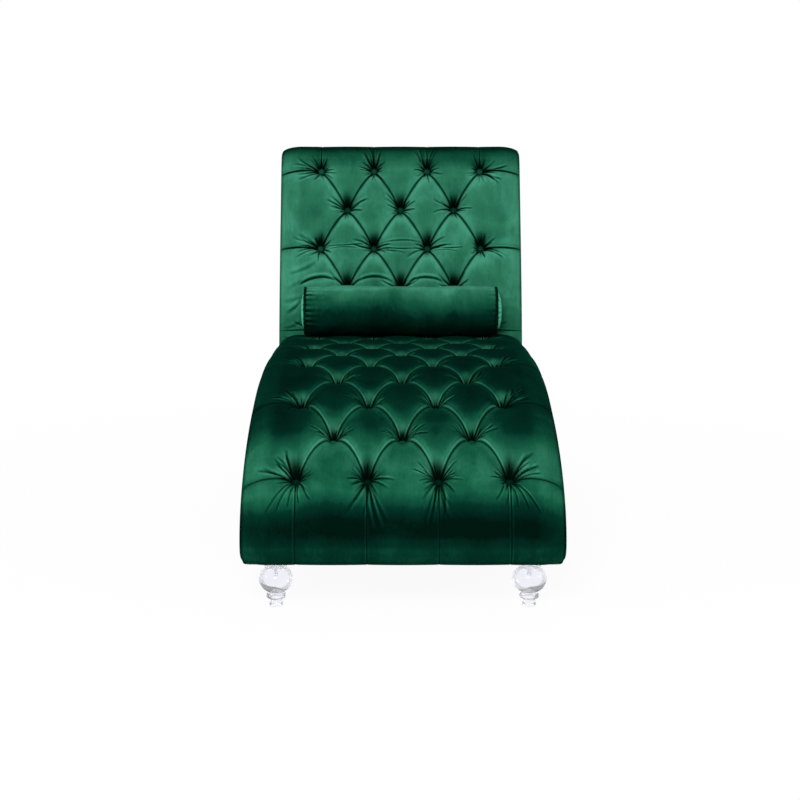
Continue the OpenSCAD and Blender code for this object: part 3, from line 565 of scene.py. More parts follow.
def long_wrinkles(x, s, lines):
    """Furrows along shallow arcs: off is the distance from the arc, which fades at both ends."""
    height = np.zeros(x.shape)
    for x0, s0, x1, s1, bow, width, depth in lines:
        run = np.array([x1 - x0, s1 - s0])
        length = np.linalg.norm(run)
        t = ((x - x0) * run[0] + (s - s0) * run[1]) / length ** 2
        off = ((s - s0) * run[0] - (x - x0) * run[1]) / length - bow * 4 * t * (1 - t)
        height += depth * np.sqrt(np.clip(t * (1 - t) * 4, 0, 1)) * furrow(off, width)
    return height


# %% [markdown]
# The height of the fabric above the side line is a pillow that falls a little towards its pleats,
# a narrow fold along each pleat, and a pit at each button. Cloth hangs over a pleat from above, so
# the upper side of each fold has a raised lip.

# %% Tufted pad
pleat_step = 0.0610
cover_edge = 0.003
deep_pit = 0.027
pocket_half = (0.0125, 0.0220)
pocket_rise = 0.009
pleat_round = 0.004
wide_pit, narrow_pit = 0.018, 0.009
ridge_height, ridge_width = 0.0016, 0.0017
slit_depth, slit_width = 0.0026, 0.0009


def tuft_relief(a, b, rows, row_step, above):
    """The shares of the full depth that a point is sunk by pleats and by the pit of a button.
    Pleats: 1 - 0.55*|sin u sin v|^0.6 - 0.45*(1 - exp(-near/4 mm)); pits: two bell curves. Then
    near, the distance to the next pleat; upper, the same with a minus on the pleat's lower side;
    up and across, steps past both sets of pleats; past_a, steps beyond the outer buttons."""
    inner_a = np.clip(a, -outer_a, outer_a)
    inner_b = np.clip(b, 0, rows - 1)
    # A parabola rounds the corner of that limit at the first row.
    inner_b = np.where((np.abs(b) < 0.12) & (np.abs(a) < outer_a), (b + 0.12) ** 2 / 0.48, inner_b)
    past_a = np.abs(a) - np.abs(inner_a)
    past_b = np.abs(b - inner_b)
    up = to_odd(inner_a + inner_b)
    across = to_odd(inner_b - inner_a)
    step = (pleat_step + (half_pitch - pleat_step) * np.clip(past_b / 0.3, 0, 1)
            + (row_step - pleat_step) * np.clip(past_a / 0.3, 0, 1))
    # A corner lies beyond the outer buttons and beyond the first or last row as well.
    corner = (past_a > 0) & (past_b > 0)
    near = np.where(corner, np.minimum(past_a * half_pitch, past_b * row_step),
                    np.minimum(np.abs(up), np.abs(across)) * step)
    swell = np.where(corner, np.sin(math.pi / 2 * np.clip(past_a, 0, 1))
                     * np.sin(math.pi / 2 * np.clip(past_b, 0, 1)),
                     np.abs(np.sin(math.pi / 2 * up) * np.sin(math.pi / 2 * across))) ** 0.6
    pleats = 1 - 0.55 * swell - 0.45 * (1 - np.exp(-near / pleat_round))
    gap = np.full(a.shape, 9.0)
    for i in (-1, 0, 1):
        for k in (-1, 0, 1):
            near_a = np.round(inner_a) + i
            near_b = np.round(inner_b) + k
            is_button = ((np.mod(near_a + near_b, 2) == 1) & (np.abs(near_a) <= outer_a)
                         & (near_b >= 0) & (near_b <= rows - 1))
            along = (b - near_b) * row_step * above
            along = np.where(along > 0, along * 0.72, along)
            far = np.hypot((a - near_a) * half_pitch, along)
            gap = np.where(is_button, np.minimum(gap, far), gap)
    pits = (0.55 * np.exp(-(gap / wide_pit) ** 2 / 2)
            + 0.45 * np.exp(-(gap / narrow_pit) ** 2 / 2))
    side = np.where(np.abs(up) < np.abs(across), up, across)
    side = np.where(past_a > 0, to_odd(inner_b + outer_a), side) * above
    beyond = corner & (past_b * row_step < past_a * half_pitch)
    upper = np.where(beyond, -above, np.where(corner | (side == 0), 1, np.sign(side))) * near
    return pleats, pits, near, upper, up, across, past_a


def split_along_pleats(rows_n, cols_n, up, across):
    """Two triangles a quad, cut along whichever diagonal lies nearer to a pleat."""
    quads = grid_corners(rows_n, cols_n)
    up_mid = np.abs(up.ravel()[quads]).mean(1)
    across_mid = np.abs(across.ravel()[quads]).mean(1)
    rising = (across_mid < up_mid)[:, None]
    return np.concatenate([np.where(rising, quads[:, [0, 1, 2]], quads[:, [0, 1, 3]]),
                           np.where(rising, quads[:, [0, 2, 3]], quads[:, [1, 2, 3]])])


def tufted_pad(name, line, x, s, height, triangles, under):
    """The fabric at line(s) + normal*height, closed below by long faces at a small depth."""
    rows_n, cols_n = x.shape
    top = lifted(line, x, s, height)
    low = lifted(line, x[:, [0, -1]], s[:, [0, -1]], -under)
    points = np.concatenate([top.reshape(-1, 3), low.reshape(-1, 3)])
    base = rows_n * cols_n
    i = np.arange(rows_n - 1)
    left_top, right_top = i * cols_n, i * cols_n + cols_n - 1
    left_low, right_low = base + 2 * i, base + 2 * i + 1
    left = np.stack([left_top, left_top + cols_n, left_low + 2, left_low], 1)
    right = np.stack([right_low, right_low + 2, right_top + cols_n, right_top], 1)
    below = np.stack([left_low, left_low + 2, right_low + 2, right_low], 1)
    front = np.concatenate([np.arange(cols_n - 1, -1, -1), [base, base + 1]])[None]
    last = (rows_n - 1) * cols_n
    back = np.concatenate([np.arange(last, last + cols_n),
                           [base + 2 * rows_n - 1, base + 2 * rows_n - 2]])[None]
    return new_mesh(name, points, [triangles, left, right, below, front, back])


def velvet_pad(name, line, a, b, x, s, crest, depth, rows, row_step, above, spokes, buttons, lines,
               painted_light_of, star_size, star_lift, pocket_size, facing, hemmed):
    """One tufted cover. above is 1 where b grows with s and -1 where it falls; facing says which
    slopes catch the light: 1 for those that rise with s, as on the seat, -1 as on the back. Shade is
    painted near black in a star round each button, which reaches further up by star_lift, and in an
    oval pocket above it of pocket_size. hemmed is 1 where the cover starts at a hem, where shade is
    painted dark."""
    pleats, pits, near, upper, up, across, past_a = tuft_relief(a, b, rows, row_step, above)
    full, share = depth(s), side_fall(x)
    nearest, owner, angle = nearest_button(x, s, *buttons)
    wrinkles, flare = spoke_wrinkles(nearest, owner, angle, spokes)
    wrinkles = wrinkles + long_wrinkles(x, s, lines)
    strength = np.clip(full / deep_pit, 0, 1)
    ridge = ridge_height * bell(upper - 0.0030, ridge_width) * strength
    slit = -slit_depth * bell(near, slit_width) * strength
    height = cover_edge + share * (crest(s) - cover_edge - full * (0.32 * pleats + 0.80 * pits)
                                   + ridge + slit + wrinkles * (0.35 + 0.65 * strength))
    mesh = tufted_pad(name, line, x, s, height, split_along_pleats(*x.shape, up, across), 0.001)

    # Shade is painted near black in a star round each button and in the pocket above it, where the
    # gathered cloth lies deep in shadow.
    star = star_size * (1 + 1.4 * flare + star_lift * np.clip(np.sin(angle), 0, 1) ** 2)
    pocket = pocket_size[owner]
    grown = np.maximum(pocket, 0.1)
    pocket_x = nearest * np.cos(angle) / (pocket_half[0] * (1 + 0.6 * flare) * grown)
    pocket_s = ((nearest * np.sin(angle) - pocket_rise * pocket)
                / (pocket_half[1] * (1 + 1.0 * flare) * grown))
    star_shade = np.maximum(np.exp(-(nearest / star) ** 1.9),
                       np.exp(-(pocket_x ** 2 + pocket_s ** 2) ** 1.8) * (pocket > 0))

    # Painted shade: darker in the hollows, in a line along each pleat and at the hem.
    hollow = (softened(height, 10) - height) * 1000
    hollow = hollow * np.clip((half_width - np.abs(x) - 0.003) / 0.02, 0, 1)
    level = np.clip(past_a * half_pitch / 0.012, 0, 1) * bell(near, 0.010)
    line_width = 0.0009 + 0.0021 * level
    pleat_shade = (0.95 * bell(upper + 0.5 * (1 - level) * line_width, line_width)
                  * np.clip(strength * (1 + 0.3 * level) + 0.05, 0, 1) * share)
    hem_shade = 0.8 * np.exp(-s / 0.004) * hemmed
    fold = np.clip(star_shade * share + hem_shade + pleat_shade + 0.50 * np.clip(hollow - 0.05, 0, 3), 0, 1)

    # Painted light: lighter on slopes that face the light and on convex ridges, darker in hollows,
    # with a painted highlight on the lip beside each pleat.
    slope = np.gradient(height, axis=0) / np.gradient(s, axis=0)
    lit = (facing * 0.42 * np.clip(slope, -0.9, 0.9) - 0.30 * np.clip(hollow, -0.9, 1)
           + 0.30 * bell(upper * facing - 0.0022, 0.0010) * strength * share)
    nap = painted_light_of(x, s) + lit * np.where(lit > 0, 1 - 0.8 * level, 1)
    below = np.zeros(len(mesh.vertices) - x.size)
    give_painted_light(mesh, np.append(fold, below), np.append(np.clip(nap, 0, 1.3), below + 0.6))
    return mesh


def button_places(rows, row_place):
    """Rows of four and three buttons in turn, as arrays of x, s and row number."""
    row = np.repeat(np.arange(rows), 4)
    place = np.tile(np.arange(4), rows)
    keep = (row % 2 == 0) | (place < 3)
    row, place = row[keep], place[keep]
    return (place - np.where(row % 2 == 0, 1.5, 1)) * 2 * half_pitch, row_place(row), row


def outer_side(button_x):
    """-1 or 1 for the outer buttons of the rows of four, and 0 for all others."""
    return np.where(np.abs(button_x) > outer_x, np.sign(button_x), 0)


def outer_angles(outer, left, first, first_row, others):
    """An angle for every button: left and its mirror image on the outer ones, given as a pair."""
    return np.where(first, first_row, np.where(outer != 0, np.where(outer < 0, *left), others))


# %% [markdown]
# The seat has nine rows of buttons, four and three in turn, 126 mm apart along the fabric. The
# filling is 28 mm thick on the nose and 50 mm in the middle. Light and shade are painted along the
# seat: darkest in a band round the nose and lightest on the slope above it. The outer buttons pull
# long wrinkles to the side edges, the front row pulls them down over the nose.

# %% Seat cover
seat_row = 0.126
seat_rows = 9
first_row_s = nose_s + 0.136
last_row_s = first_row_s + (seat_rows - 1) * seat_row


def seat_place(b):
    """Length along the seat of lattice row b; the front rows lie a little nearer to the nose."""
    return first_row_s + seat_row * b + np.interp(
        b, [-1.79, 0, 1, 2, 3, 4], [0, -0.009, -0.015, -0.009, -0.003, 0])


def seat_crest(s):
    """Height of the pillows above the side line, from a few measured heights along the seat."""
    stops = [0, 0.045, nose_s, first_row_s, first_row_s + 2 * seat_row, first_row_s + 4 * seat_row,
             last_row_s - seat_row, seat_end]
    return quarter_round(seat_end - s + 0.001, 0.035) * eased(
        s, stops, [0.0055, 0.0152, 0.028, 0.036, 0.046, 0.050, 0.047, 0.042])


def seat_depth(s):
    """Depth of the pits below the pillows."""
    stops = [0, nose_s, nose_s + 0.0907, first_row_s, last_row_s, seat_end - 0.024, seat_end]
    return quarter_round(seat_end - s + 0.001, 0.035) * np.interp(
        s, stops, [0.002, 0.005, 0.009, 0.030, 0.030, 0.009, 0.001])


def seat_painted_light(x, s):
    """Painted light and shade along the seat, darkest round the nose, with painted shade inside the
    side edges and a painted highlight patch behind every button of the upper rows.
    """
    bent = s + 0.010 * (x / half_width) ** 2 + 0.004 * np.sin(19 * x + 1) + 0.003 * np.sin(47 * x)
    painted_level = np.interp(bent, [0, 0.050, 0.085, 0.100, 0.112, 0.130, 0.147, 0.165, 0.185, 0.240, 0.300,
                           0.360, 0.450, 0.550, 0.700, 1.340],
                    [0.10, 0.12, 0.11, 0.05, -0.03, -0.02, 0.12, 0.32, 0.48, 0.53, 0.43,
                     0.27, 0.15, 0.09, 0.07, 0.09])
    # Painted shade in a strip inside each side edge (dip) and at the edges themselves (edge).
    dip = bell(np.abs(x) - 0.245, 0.045) * np.interp(s, [0.27, 0.34, 0.45, 0.60],
                                                     [0, 0.12, 0.08, 0])
    edge = 0.28 * np.clip((np.abs(x) - 0.285) / 0.030, 0, 1) * np.interp(
        s, [0.10, 0.15, 0.20, 0.32, 0.60, 1.0], [0, 0.5, 0.8, 0.9, 0.6, 0.2])
    button_x, button_s, _ = seat_buttons
    _, owner, _ = nearest_button(x, s, button_x, button_s + 0.030)
    # A painted highlight on the wall behind each button.
    highlight_patch = bell(x - button_x[owner], 0.016) * bell(s - button_s[owner] - 0.034, 0.018)
    highlight_patch = highlight_patch * np.where(outer_side(button_x[owner]) != 0, 1.35, 1.0)
    return painted_level - dip - edge + 0.30 * highlight_patch * np.interp(s, [0.30, 0.42], [0, 1])


seat_buttons = button_places(seat_rows, seat_place)
seat_before, seat_after = first_row_s / seat_row, (seat_end - first_row_s) / seat_row
a, b, free = tuft_lattice(seat_rows, seat_before, seat_after, 92, 34)
s = seat_place(b) + seat_row * free * (0.22 * sag(a) - 0.13 * droop(a))

rng = np.random.default_rng(11)
place_x, _, place_row = seat_buttons
outer = outer_side(place_x)
front = (place_row == 0) & (outer == 0)
seat_spokes = draw_spokes(rng, 24, 9, outer_angles(outer, (2.00, 0.12), front, -2.05, 0.25),
                          outer_angles(outer, (3.02, 1.15), front, -1.10, 0.95),
                          (outer == 0) & ~front, np.where(front, 1.35, np.where(outer, 1.0, 0.75)))
seat_lines = [(side * (0.2115 - 0.006 * k), first_row_s - 0.021, side * (0.225 - 0.022 * k),
               first_row_s - 0.071 + 0.006 * k, 0.003 * side, 0.0014, 0.0022)
              for side in (-1, 1) for k in range(-2, 3)]
seat_lines += [(-0.318, 0.030, -0.285, 0.012, 0.002, 0.0022, 0.0030),
               (0.318, 0.030, 0.287, 0.013, -0.002, 0.0022, 0.0030)]
seat_mesh = velvet_pad(
    "seat_cover_velvet", seat_line, a, b, a * half_pitch, s, seat_crest, seat_depth, seat_rows,
    seat_row, 1, seat_spokes, seat_buttons[:2], seat_lines, seat_painted_light, star_size=0.0165,
    star_lift=0.9, pocket_size=np.interp(place_row, [0, 1, 2, 3], [1.42, 0.95, 0.70, 0]),
    facing=1, hemmed=1)
seat_cover = add_piece("seat_cover_velvet", seat_mesh, green, "couch", "seat_cover")

# %% [markdown]
# The back is tufted in the same way, with five rows 108 mm apart. Its rows are counted downwards
# from the head roll, so the arches of its pleats hang the same way round as on the seat. Between
# the buttons of the third row the cloth is pulled into a few level wrinkles.

# %% Back cover
back_row = 0.108
back_rows = 5
top_row_s = 0.481
low_row_s = top_row_s - (back_rows - 1) * back_row
roll_s = top_row_s + 0.030
crown_s = Line(lean).length + roll_radius * math.radians(68)


def back_place(b):
    """Length along the back of lattice row b."""
    return top_row_s - back_row * b


def back_crest(s):
    """Height of the pillows above the side line of the back."""
    return eased(s, [0, 0.045, 0.11268, 0.25668, top_row_s, roll_s, crown_s, back_end],
                 [0.003, 0.01257, 0.032, 0.040, 0.034, 0.029, 0.021, 0.014], 0.02)


def back_depth(s):
    """Depth of the pits of the back."""
    stops = [0, low_row_s, low_row_s + back_row, top_row_s - back_row, top_row_s, roll_s, crown_s,
             back_end]
    return np.interp(s, stops, [0, 0.008, 0.027, 0.030, 0.024, 0.007, 0.004, 0.003])


def back_painted_light(x, s):
    """Painted light and shade on the back: light all over, painted shade over the head roll and at
    the side edges.
    """
    return (np.interp(s, [0, 0.1, 0.3, top_row_s, 0.520, 0.535, crown_s, back_end],
                      [0.68, 0.71, 0.72, 0.66, 0.36, 0.11, 0.05, 0.34])
            - 0.10 * np.clip((np.abs(x) - 0.285) / 0.035, 0, 1))


back_buttons = button_places(back_rows, back_place)
back_before, back_after = (back_end - top_row_s) / back_row, top_row_s / back_row
a, b, free = (field[::-1] for field in tuft_lattice(back_rows, back_before, back_after, 76, 16))
s = back_place(b - free * (0.06 * sag(a) - np.interp(b, [0, 2], [0.10, 0.02]) * droop(a)))
place_x, _, place_row = back_buttons
outer = outer_side(place_x)
top_row = (place_row == 0) & (outer == 0)
back_spokes = draw_spokes(rng, 23, 8, outer_angles(outer, (2.6, -0.7), top_row, 0.9, -0.35),
                          outer_angles(outer, (3.9, 0.55), top_row, 2.2, 0.95),
                          (outer == 0) & ~top_row, np.where((outer != 0) | top_row, 1.0, 0.8))
third = back_place(2)
back_lines = [(-0.195, third + 0.005, -0.085, third + 0.012, -0.004, 0.0017, 0.0014),
              (-0.190, third - 0.004, -0.110, third - 0.003, 0.003, 0.0015, 0.0011),
              (-0.056, third + 0.010, 0.056, third + 0.014, 0.006, 0.0020, 0.0014),
              (-0.055, third + 0.001, 0.040, third - 0.003, -0.004, 0.0017, 0.0016),
              (-0.052, third - 0.009, 0.010, third - 0.016, 0.003, 0.0015, 0.0014),
              (0.085, third + 0.002, 0.165, third + 0.000, -0.004, 0.0017, 0.0016),
              (0.085, third - 0.008, 0.150, third - 0.012, 0.003, 0.0015, 0.0013),
              (-0.120, third - 0.094, -0.020, third - 0.092, 0.014, 0.0032, 0.0026),
              (0.015, third - 0.094, 0.120, third - 0.096, 0.014, 0.0032, 0.0026),
              (-0.294, 0.193, -0.222, 0.224, -0.004, 0.0050, 0.0009),
              (-0.266, 0.164, -0.150, 0.166, 0.020, 0.0034, 0.0030),
              (-0.300, 0.150, -0.185, 0.176, 0.012, 0.0060, 0.0010),
              (-0.300, 0.092, -0.262, 0.122, -0.003, 0.0040, 0.0020),
              (-0.314, 0.120, -0.225, 0.146, -0.006, 0.0060, 0.0009),
              (-0.312, 0.052, -0.262, 0.070, -0.004, 0.0045, 0.0016),
              (-0.312, 0.034, -0.272, 0.028, -0.004, 0.0030, 0.0016)]
back_mesh = velvet_pad(
    "back_cover_velvet", back_line, a, b, a * half_pitch, s, back_crest, back_depth, back_rows,
    back_row, -1, back_spokes, back_buttons[:2], back_lines, back_painted_light, star_size=0.0125,
    star_lift=1.1, pocket_size=np.where(place_row == 0, 0.8, 1.2), facing=-1, hemmed=0)
back_cover = add_piece("back_cover_velvet", back_mesh, green, "couch", "back_cover")

# %% [markdown]
# ## Foam
# Under the velvet lies the foam, with the same hollows. It is seen only where a cover is lifted, so
# a coarser grid of the same surface, 4 to 6 mm lower, is enough.

# %% Foam finish and pieces
def foam_finish():
    """Cream foam: a fine relief of cells and slow clouds of colour."""
    f = Finish("foam_cream")
    where = f.place()
    cells_seen = f.noise(where, 700.0, 2.0, 0.6)
    cloud = f.noise(where, 12.0, 2.0)
    tone = (cells_seen * 0.6 + cloud * 0.4).kept()
    return f.surface(Base_Color=f.mixed(tone, (0.62, 0.54, 0.33), (0.86, 0.80, 0.60)),
                     Roughness=0.9, Specular_IOR_Level=0.1,
                     Normal=f.bumped(cells_seen, 0.5, 0.001))


foam = foam_finish()


def foam_pad(name, line, lattice_b, place_of, crest, depth, rows, row_step, above, sink, node):
    """The tufted surface again on a coarse grid, sunk by a few millimetres."""
    a, b = np.meshgrid(np.linspace(-side_reach + 0.1, side_reach - 0.1, 49), lattice_b)
    x = a * half_pitch
    s = place_of(b)
    pits = tuft_relief(a, b, rows, row_step, above)[1]
    height = side_fall(x) * (crest(s) - depth(s)) * (1 - 0.4 * pits) - sink
    mesh = tufted_pad(name, line, x, s, height, grid_corners(*x.shape), 0.012)
    add_piece(name, mesh, foam, "couch", node)


foam_pad("seat_foam_pad", seat_line, np.linspace(0.1 - seat_before, seat_after - 0.1, 65),
         seat_place, seat_crest, seat_depth, seat_rows, seat_row, 1, 0.004, "seat_foam")
foam_pad("back_foam_pad", back_line, np.linspace(0.1 - back_before, back_after - 0.1, 37)[::-1],
         back_place, back_crest, back_depth, back_rows, back_row, -1, 0.006, "back_foam")

# %% [markdown]
# ## Covered buttons
# Each button is a small metal dome with velvet pressed over it. A profile is turned round its own
# axis, and the axis follows the surface of the couch at its row.

# %% Buttons
button_radius, button_height = 0.0102, 0.0062


def dome_profile(steps=9):
    """A low dome: radius*sin(t), height*cos(t), with the edge tucked in below."""
    t = np.linspace(0.02, math.pi / 2, steps)
    crown = np.stack([button_radius * np.sin(t), button_height * np.cos(t)], 1)
    return np.vstack([[(0, button_height)], crown, [(button_radius * 0.96, -0.0016),
                                                    (button_radius * 0.6, -0.003), (0, -0.003)]])


def turned_points(profile, around):
    """A profile of radius and height carried round the axis; the poles stay single points."""
    angle = angles(around)
    ring = profile[1:-1]
    body = np.stack([ring[:, :1] * np.cos(angle), ring[:, :1] * np.sin(angle),
                     np.repeat(ring[:, 1:], around, 1)], -1)
    return np.concatenate([[[0, 0, profile[0, 1]]], body.reshape(-1, 3), [[0, 0, profile[-1, 1]]]])


def turned_faces(rings, around):
    """Quads between the rings and a fan of triangles at each pole; the profile runs top down."""
    j = np.arange(around)
    ahead = (j + 1) % around
    top = np.stack([np.zeros(around, int), 1 + j, 1 + ahead], 1)
    last = 1 + (rings - 1) * around
    low = np.stack([np.full(around, 1 + rings * around), last + ahead, last + j], 1)
    return [top, grid_corners(rings, around, 1, tube=True)[:, [0, 3, 2, 1]], low]


def button_group(name, line, places, crest, depth, rim, painted_level, node):
    """One dome for every button, set on the pit's floor and turned to the surface's normal."""
    around = 28
    profile = dome_profile()
    dome = turned_points(profile, around)
    at_x, at_s, _ = places
    out = line.normal(at_s)
    spot = line.at(at_s) + out * (crest(at_s) - depth(at_s) + rim)[:, None]
    y = spot[:, :1] - half_length + dome[:, 1] * out[:, 1:] + dome[:, 2] * out[:, :1]
    z = spot[:, 1:] - dome[:, 1] * out[:, :1] + dome[:, 2] * out[:, 1:]
    points = np.stack([at_x[:, None] + dome[:, 0], y, z], -1).reshape(-1, 3)
    every = np.arange(len(at_x))[:, None, None] * len(dome)
    mesh = new_mesh(name, points, [(every + g[None]).reshape(-1, g.shape[1])
                                   for g in turned_faces(len(profile) - 2, around)])
    # The rim of each dome is painted darker, as it lies in the shade of the pit.
    edge = np.hypot(dome[:, 0], dome[:, 1]) / button_radius
    give_painted_light(mesh, np.tile(np.clip(edge * 1.6 - 0.6, 0.1, 0.95), len(at_x)),
              np.repeat(painted_level, len(dome)))
    add_piece(name, mesh, green, "couch", node)


# The front row of the seat is painted darker, deep in its pits' shade; the back's top row a little
# lighter.
button_group("seat_buttons_covered", seat_line, seat_buttons, seat_crest, seat_depth, 0.0010,
             np.where(seat_buttons[2] == 0, 0.12, 0.42), "seat_buttons")
button_group("back_buttons_covered", back_line, back_buttons, back_crest, back_depth,
             np.where(back_buttons[2] == back_rows - 1, 0.0025, 0.0015),
             np.where(back_buttons[2] == 0, 0.42, 0.34), "back_buttons")

# %% [markdown]
# ## Side panels and outside back
# The sides are plain panels of velvet over thin padding. Each is a ruled surface: its top edge is
# the line of seat and back, its lower edge runs under the couch and up the rear, and straight lines
# join the two. Near the edge the padding rounds off into the seam.

# %% Side panels
front_foot = (0.104, 0.090)
panel_inner = 0.3142


def cosine_steps(count):
    """Steps from 0 to 1 that lie closer together at both ends: (1 - cos t)/2."""
    return (1 - np.cos(np.linspace(0, math.pi, count))) / 2


def thin_padding(gap, round_over=0.007, bulge=0.0025):
    """Thickness of a thin pad at a gap from its edge: a small quarter round and a slow swell."""
    return round_over * (quarter_round(gap, round_over) - 1) + bulge * (1 - np.exp(-gap / 0.05))


def plain_panel(name, outer, inner, gap, node):
    """A closed panel with a soft painted shade line 2.2 mm from its edge, in the groove where the
    seam draws it in.
    """
    mesh = closed_slab(name, outer, inner)
    seam_shade = 0.20 * bell(gap - 0.0022, 0.0016)
    give_painted_light(mesh, np.append(seam_shade, np.full(seam_shade.size, 0.2)), 0.62)
    add_piece(name, mesh, green, "couch", node)


def side_panel(name, side, node):
    """Quads ruled from the upper line to the lower one; gap is the distance to the nearer edge."""
    along_seat, along_back = 220, 110
    top = np.vstack([seat_line.at(np.linspace(0, seat_end, along_seat)),
                     back_line.at(np.linspace(0, back_end, along_back))])
    low = np.vstack([np.linspace(front_foot, rear_foot, along_seat),
                     rear_line.at(np.linspace(rear_line.length, 0, along_back))])
    t = cosine_steps(41)
    flat = top[:, None] * (1 - t[None, :, None]) + low[:, None] * t[None, :, None]
    gap = np.minimum(t[None], 1 - t[None]) * np.linalg.norm(low - top, axis=1)[:, None]
    ripple = np.sin(seat_end / 2 + np.arange(len(top))[:, None] * 0.9)
    padded = half_width + thin_padding(gap) + 0.0006 * ripple * np.exp(-gap / 0.008)
    outer, inner = (np.stack([side * (x + 0 * gap), flat[..., 0] - half_length, flat[..., 1]], -1)
                    for x in (padded, panel_inner))
    if side < 0:
        outer, inner, gap = outer[:, ::-1], inner[:, ::-1], gap[:, ::-1]
    plain_panel(name, outer, inner, gap, node)


side_panel("side_panel_left", -1, "side_cover_left")
side_panel("side_panel_right", 1, "side_cover_right")

# %% Outside back
def outside_back():
    """A grid over width and length of the rear line, with a low swell and rounded edges."""
    x, s = np.meshgrid(cosine_steps(121) * 2 * half_width - half_width,
                       cosine_steps(141) * rear_line.length)
    gap = np.minimum(half_width - np.abs(x), np.minimum(s, rear_line.length - s))
    plain_panel("outside_back_velvet", lifted(rear_line, x, s, 0.008 + thin_padding(gap)),
                lifted(rear_line, x, s, 0.0002), gap, "outside_back_cover")


outside_back()

# %% [markdown]
# ## Bolster
# The bolster is a velvet tube stuffed with fibre, drawn in a little at both seams, with domed ends
# and a rope of piping sewn between them. It lies loose, so it rides on a body of its own. Real
# cloth gives the tube its soft dents: Blender's cloth is blown up between the two seams.

# %% Bolster
bolster_y, bolster_z = [(p + q) / 2 for p, q in zip(*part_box("bolster_cover"))][1:]
seam_x = 0.243
dome_x, dome_radius = 0.2433, 0.0562
rope_x, rope_ring = 0.2463, 0.0595
fibre_x, fibre_radius = 0.2425, 0.0557
cloth_cut, tube_radius, tube_swell = 0.0610, 0.0615, 0.0025
tube_wall = 0.0025
print("bolster lies at y %.3f, z %.3f" % (bolster_y, bolster_z))


def rolled(x, radius, angle):
    """Points at a place along the bolster's axis, a radius and an angle round it; 0 is the top."""
    x, radius, angle = np.broadcast_arrays(x, radius, angle)
    return np.stack([x, bolster_y + radius * np.sin(angle), bolster_z + radius * np.cos(angle)], -1)


def swell(share):
    """How the filling rounds the tube between its ends at -1 and 1: sqrt(1 - share^4)."""
    return np.sqrt(np.clip(1 - share ** 4, 0, 1))


def capped_tube(rows, around):
    """Faces of a tube along x with one flat face over each end."""
    ring = np.arange(around)
    return [grid_corners(rows, around, flip=True, tube=True), ring[None],
            (ring + (rows - 1) * around)[None, ::-1]]


def random_waves(rng, count, turns, sizes, angle):
    """A sum of waves size*cos(turns*angle + phase) round the axis."""
    total = 0
    for _ in range(count):
        turn = rng.integers(*turns)
        total = total + rng.uniform(*sizes) * np.cos(turn * angle + rng.uniform(0, 6.3))
    return total


def bolster_painted_light(angle):
    """Painted light round the bolster: lighter on top, painted shade towards its underside."""
    from_top = np.abs(np.mod(angle + math.pi, 2 * math.pi) - math.pi) * 180 / math.pi
    return np.interp(from_top, [0, 18, 30, 45, 70, 95, 125, 180],
                     [1.00, 0.98, 0.80, 0.68, 0.46, 0.22, 0.05, 0.05])


def cloth_radius(rows=49, around=96, frames=20):
    """A tube of cloth, cut 1.5 percent too large, pinned at both seams and blown up for twenty
    frames, gets the soft dents of real cloth. Its radius stays under 64.4 mm, and nowhere more
    than 1.2 mm under what it was at rest."""
    x = np.linspace(-seam_x, seam_x, rows)[:, None]
    angle = angles(around)
    rest = cloth_cut + 0.0022 * swell(x / seam_x) + 0 * angle
    rest = rest + 0.0002 * np.random.default_rng(4).normal(size=rest.shape)
    points = np.stack([x + 0 * rest, rest * np.sin(angle), rest * np.cos(angle)], -1)
    mesh = new_mesh("bolster_cloth", points.reshape(-1, 3), capped_tube(rows, around))
    cloth = bpy.data.objects.new("bolster_cloth", mesh)
    bpy.context.scene.collection.objects.link(cloth)
    seams = cloth.vertex_groups.new(name="seams")
    last = (rows - 1) * around
    seams.add([*range(around), *range(last, last + around)], 1.0, "ADD")
    modifier = cloth.modifiers.new("cloth", "CLOTH")
    settings = modifier.settings
    settings.quality = 6
    settings.mass = 0.15
    settings.tension_stiffness = 15
    settings.compression_stiffness = 15
    settings.shear_stiffness = 5
    settings.bending_stiffness = 0.3
    settings.vertex_group_mass = "seams"
    settings.shrink_min = -0.015
    settings.use_pressure = True
    settings.uniform_pressure_force = 4
    settings.effector_weights.gravity = 0
    modifier.point_cache.frame_start = 1
    modifier.point_cache.frame_end = frames
    for frame_number in range(1, frames + 1):
        bpy.context.scene.frame_set(frame_number)
    blown = cloth.evaluated_get(bpy.context.evaluated_depsgraph_get()).to_mesh()
    after = np.empty(len(blown.vertices) * 3)
    blown.vertices.foreach_get("co", after)
    after = after.reshape(rows, around, 3)
    radius = np.hypot(after[..., 1], after[..., 2])
    bpy.data.objects.remove(cloth)
    bpy.data.meshes.remove(mesh)
    bpy.context.scene.frame_set(1)
    print("bolster cloth: radius %.4f to %.4f" % (radius.min(), radius.max()))
    return np.clip(radius, rest - 0.0012, 0.0644)


def finer(grid, rows, around):
    """A grid of radii on a finer tube: straight runs between its rows, waves round its turns."""
    place = np.linspace(0, len(grid) - 1, rows)
    low = np.minimum(place.astype(int), len(grid) - 2)
    part = (place - low)[:, None]
    grid = grid[low] * (1 - part) + grid[low + 1] * part
    waves = np.fft.rfft(grid, axis=1)
    return np.fft.irfft(waves, around, axis=1) * (around / grid.shape[1])


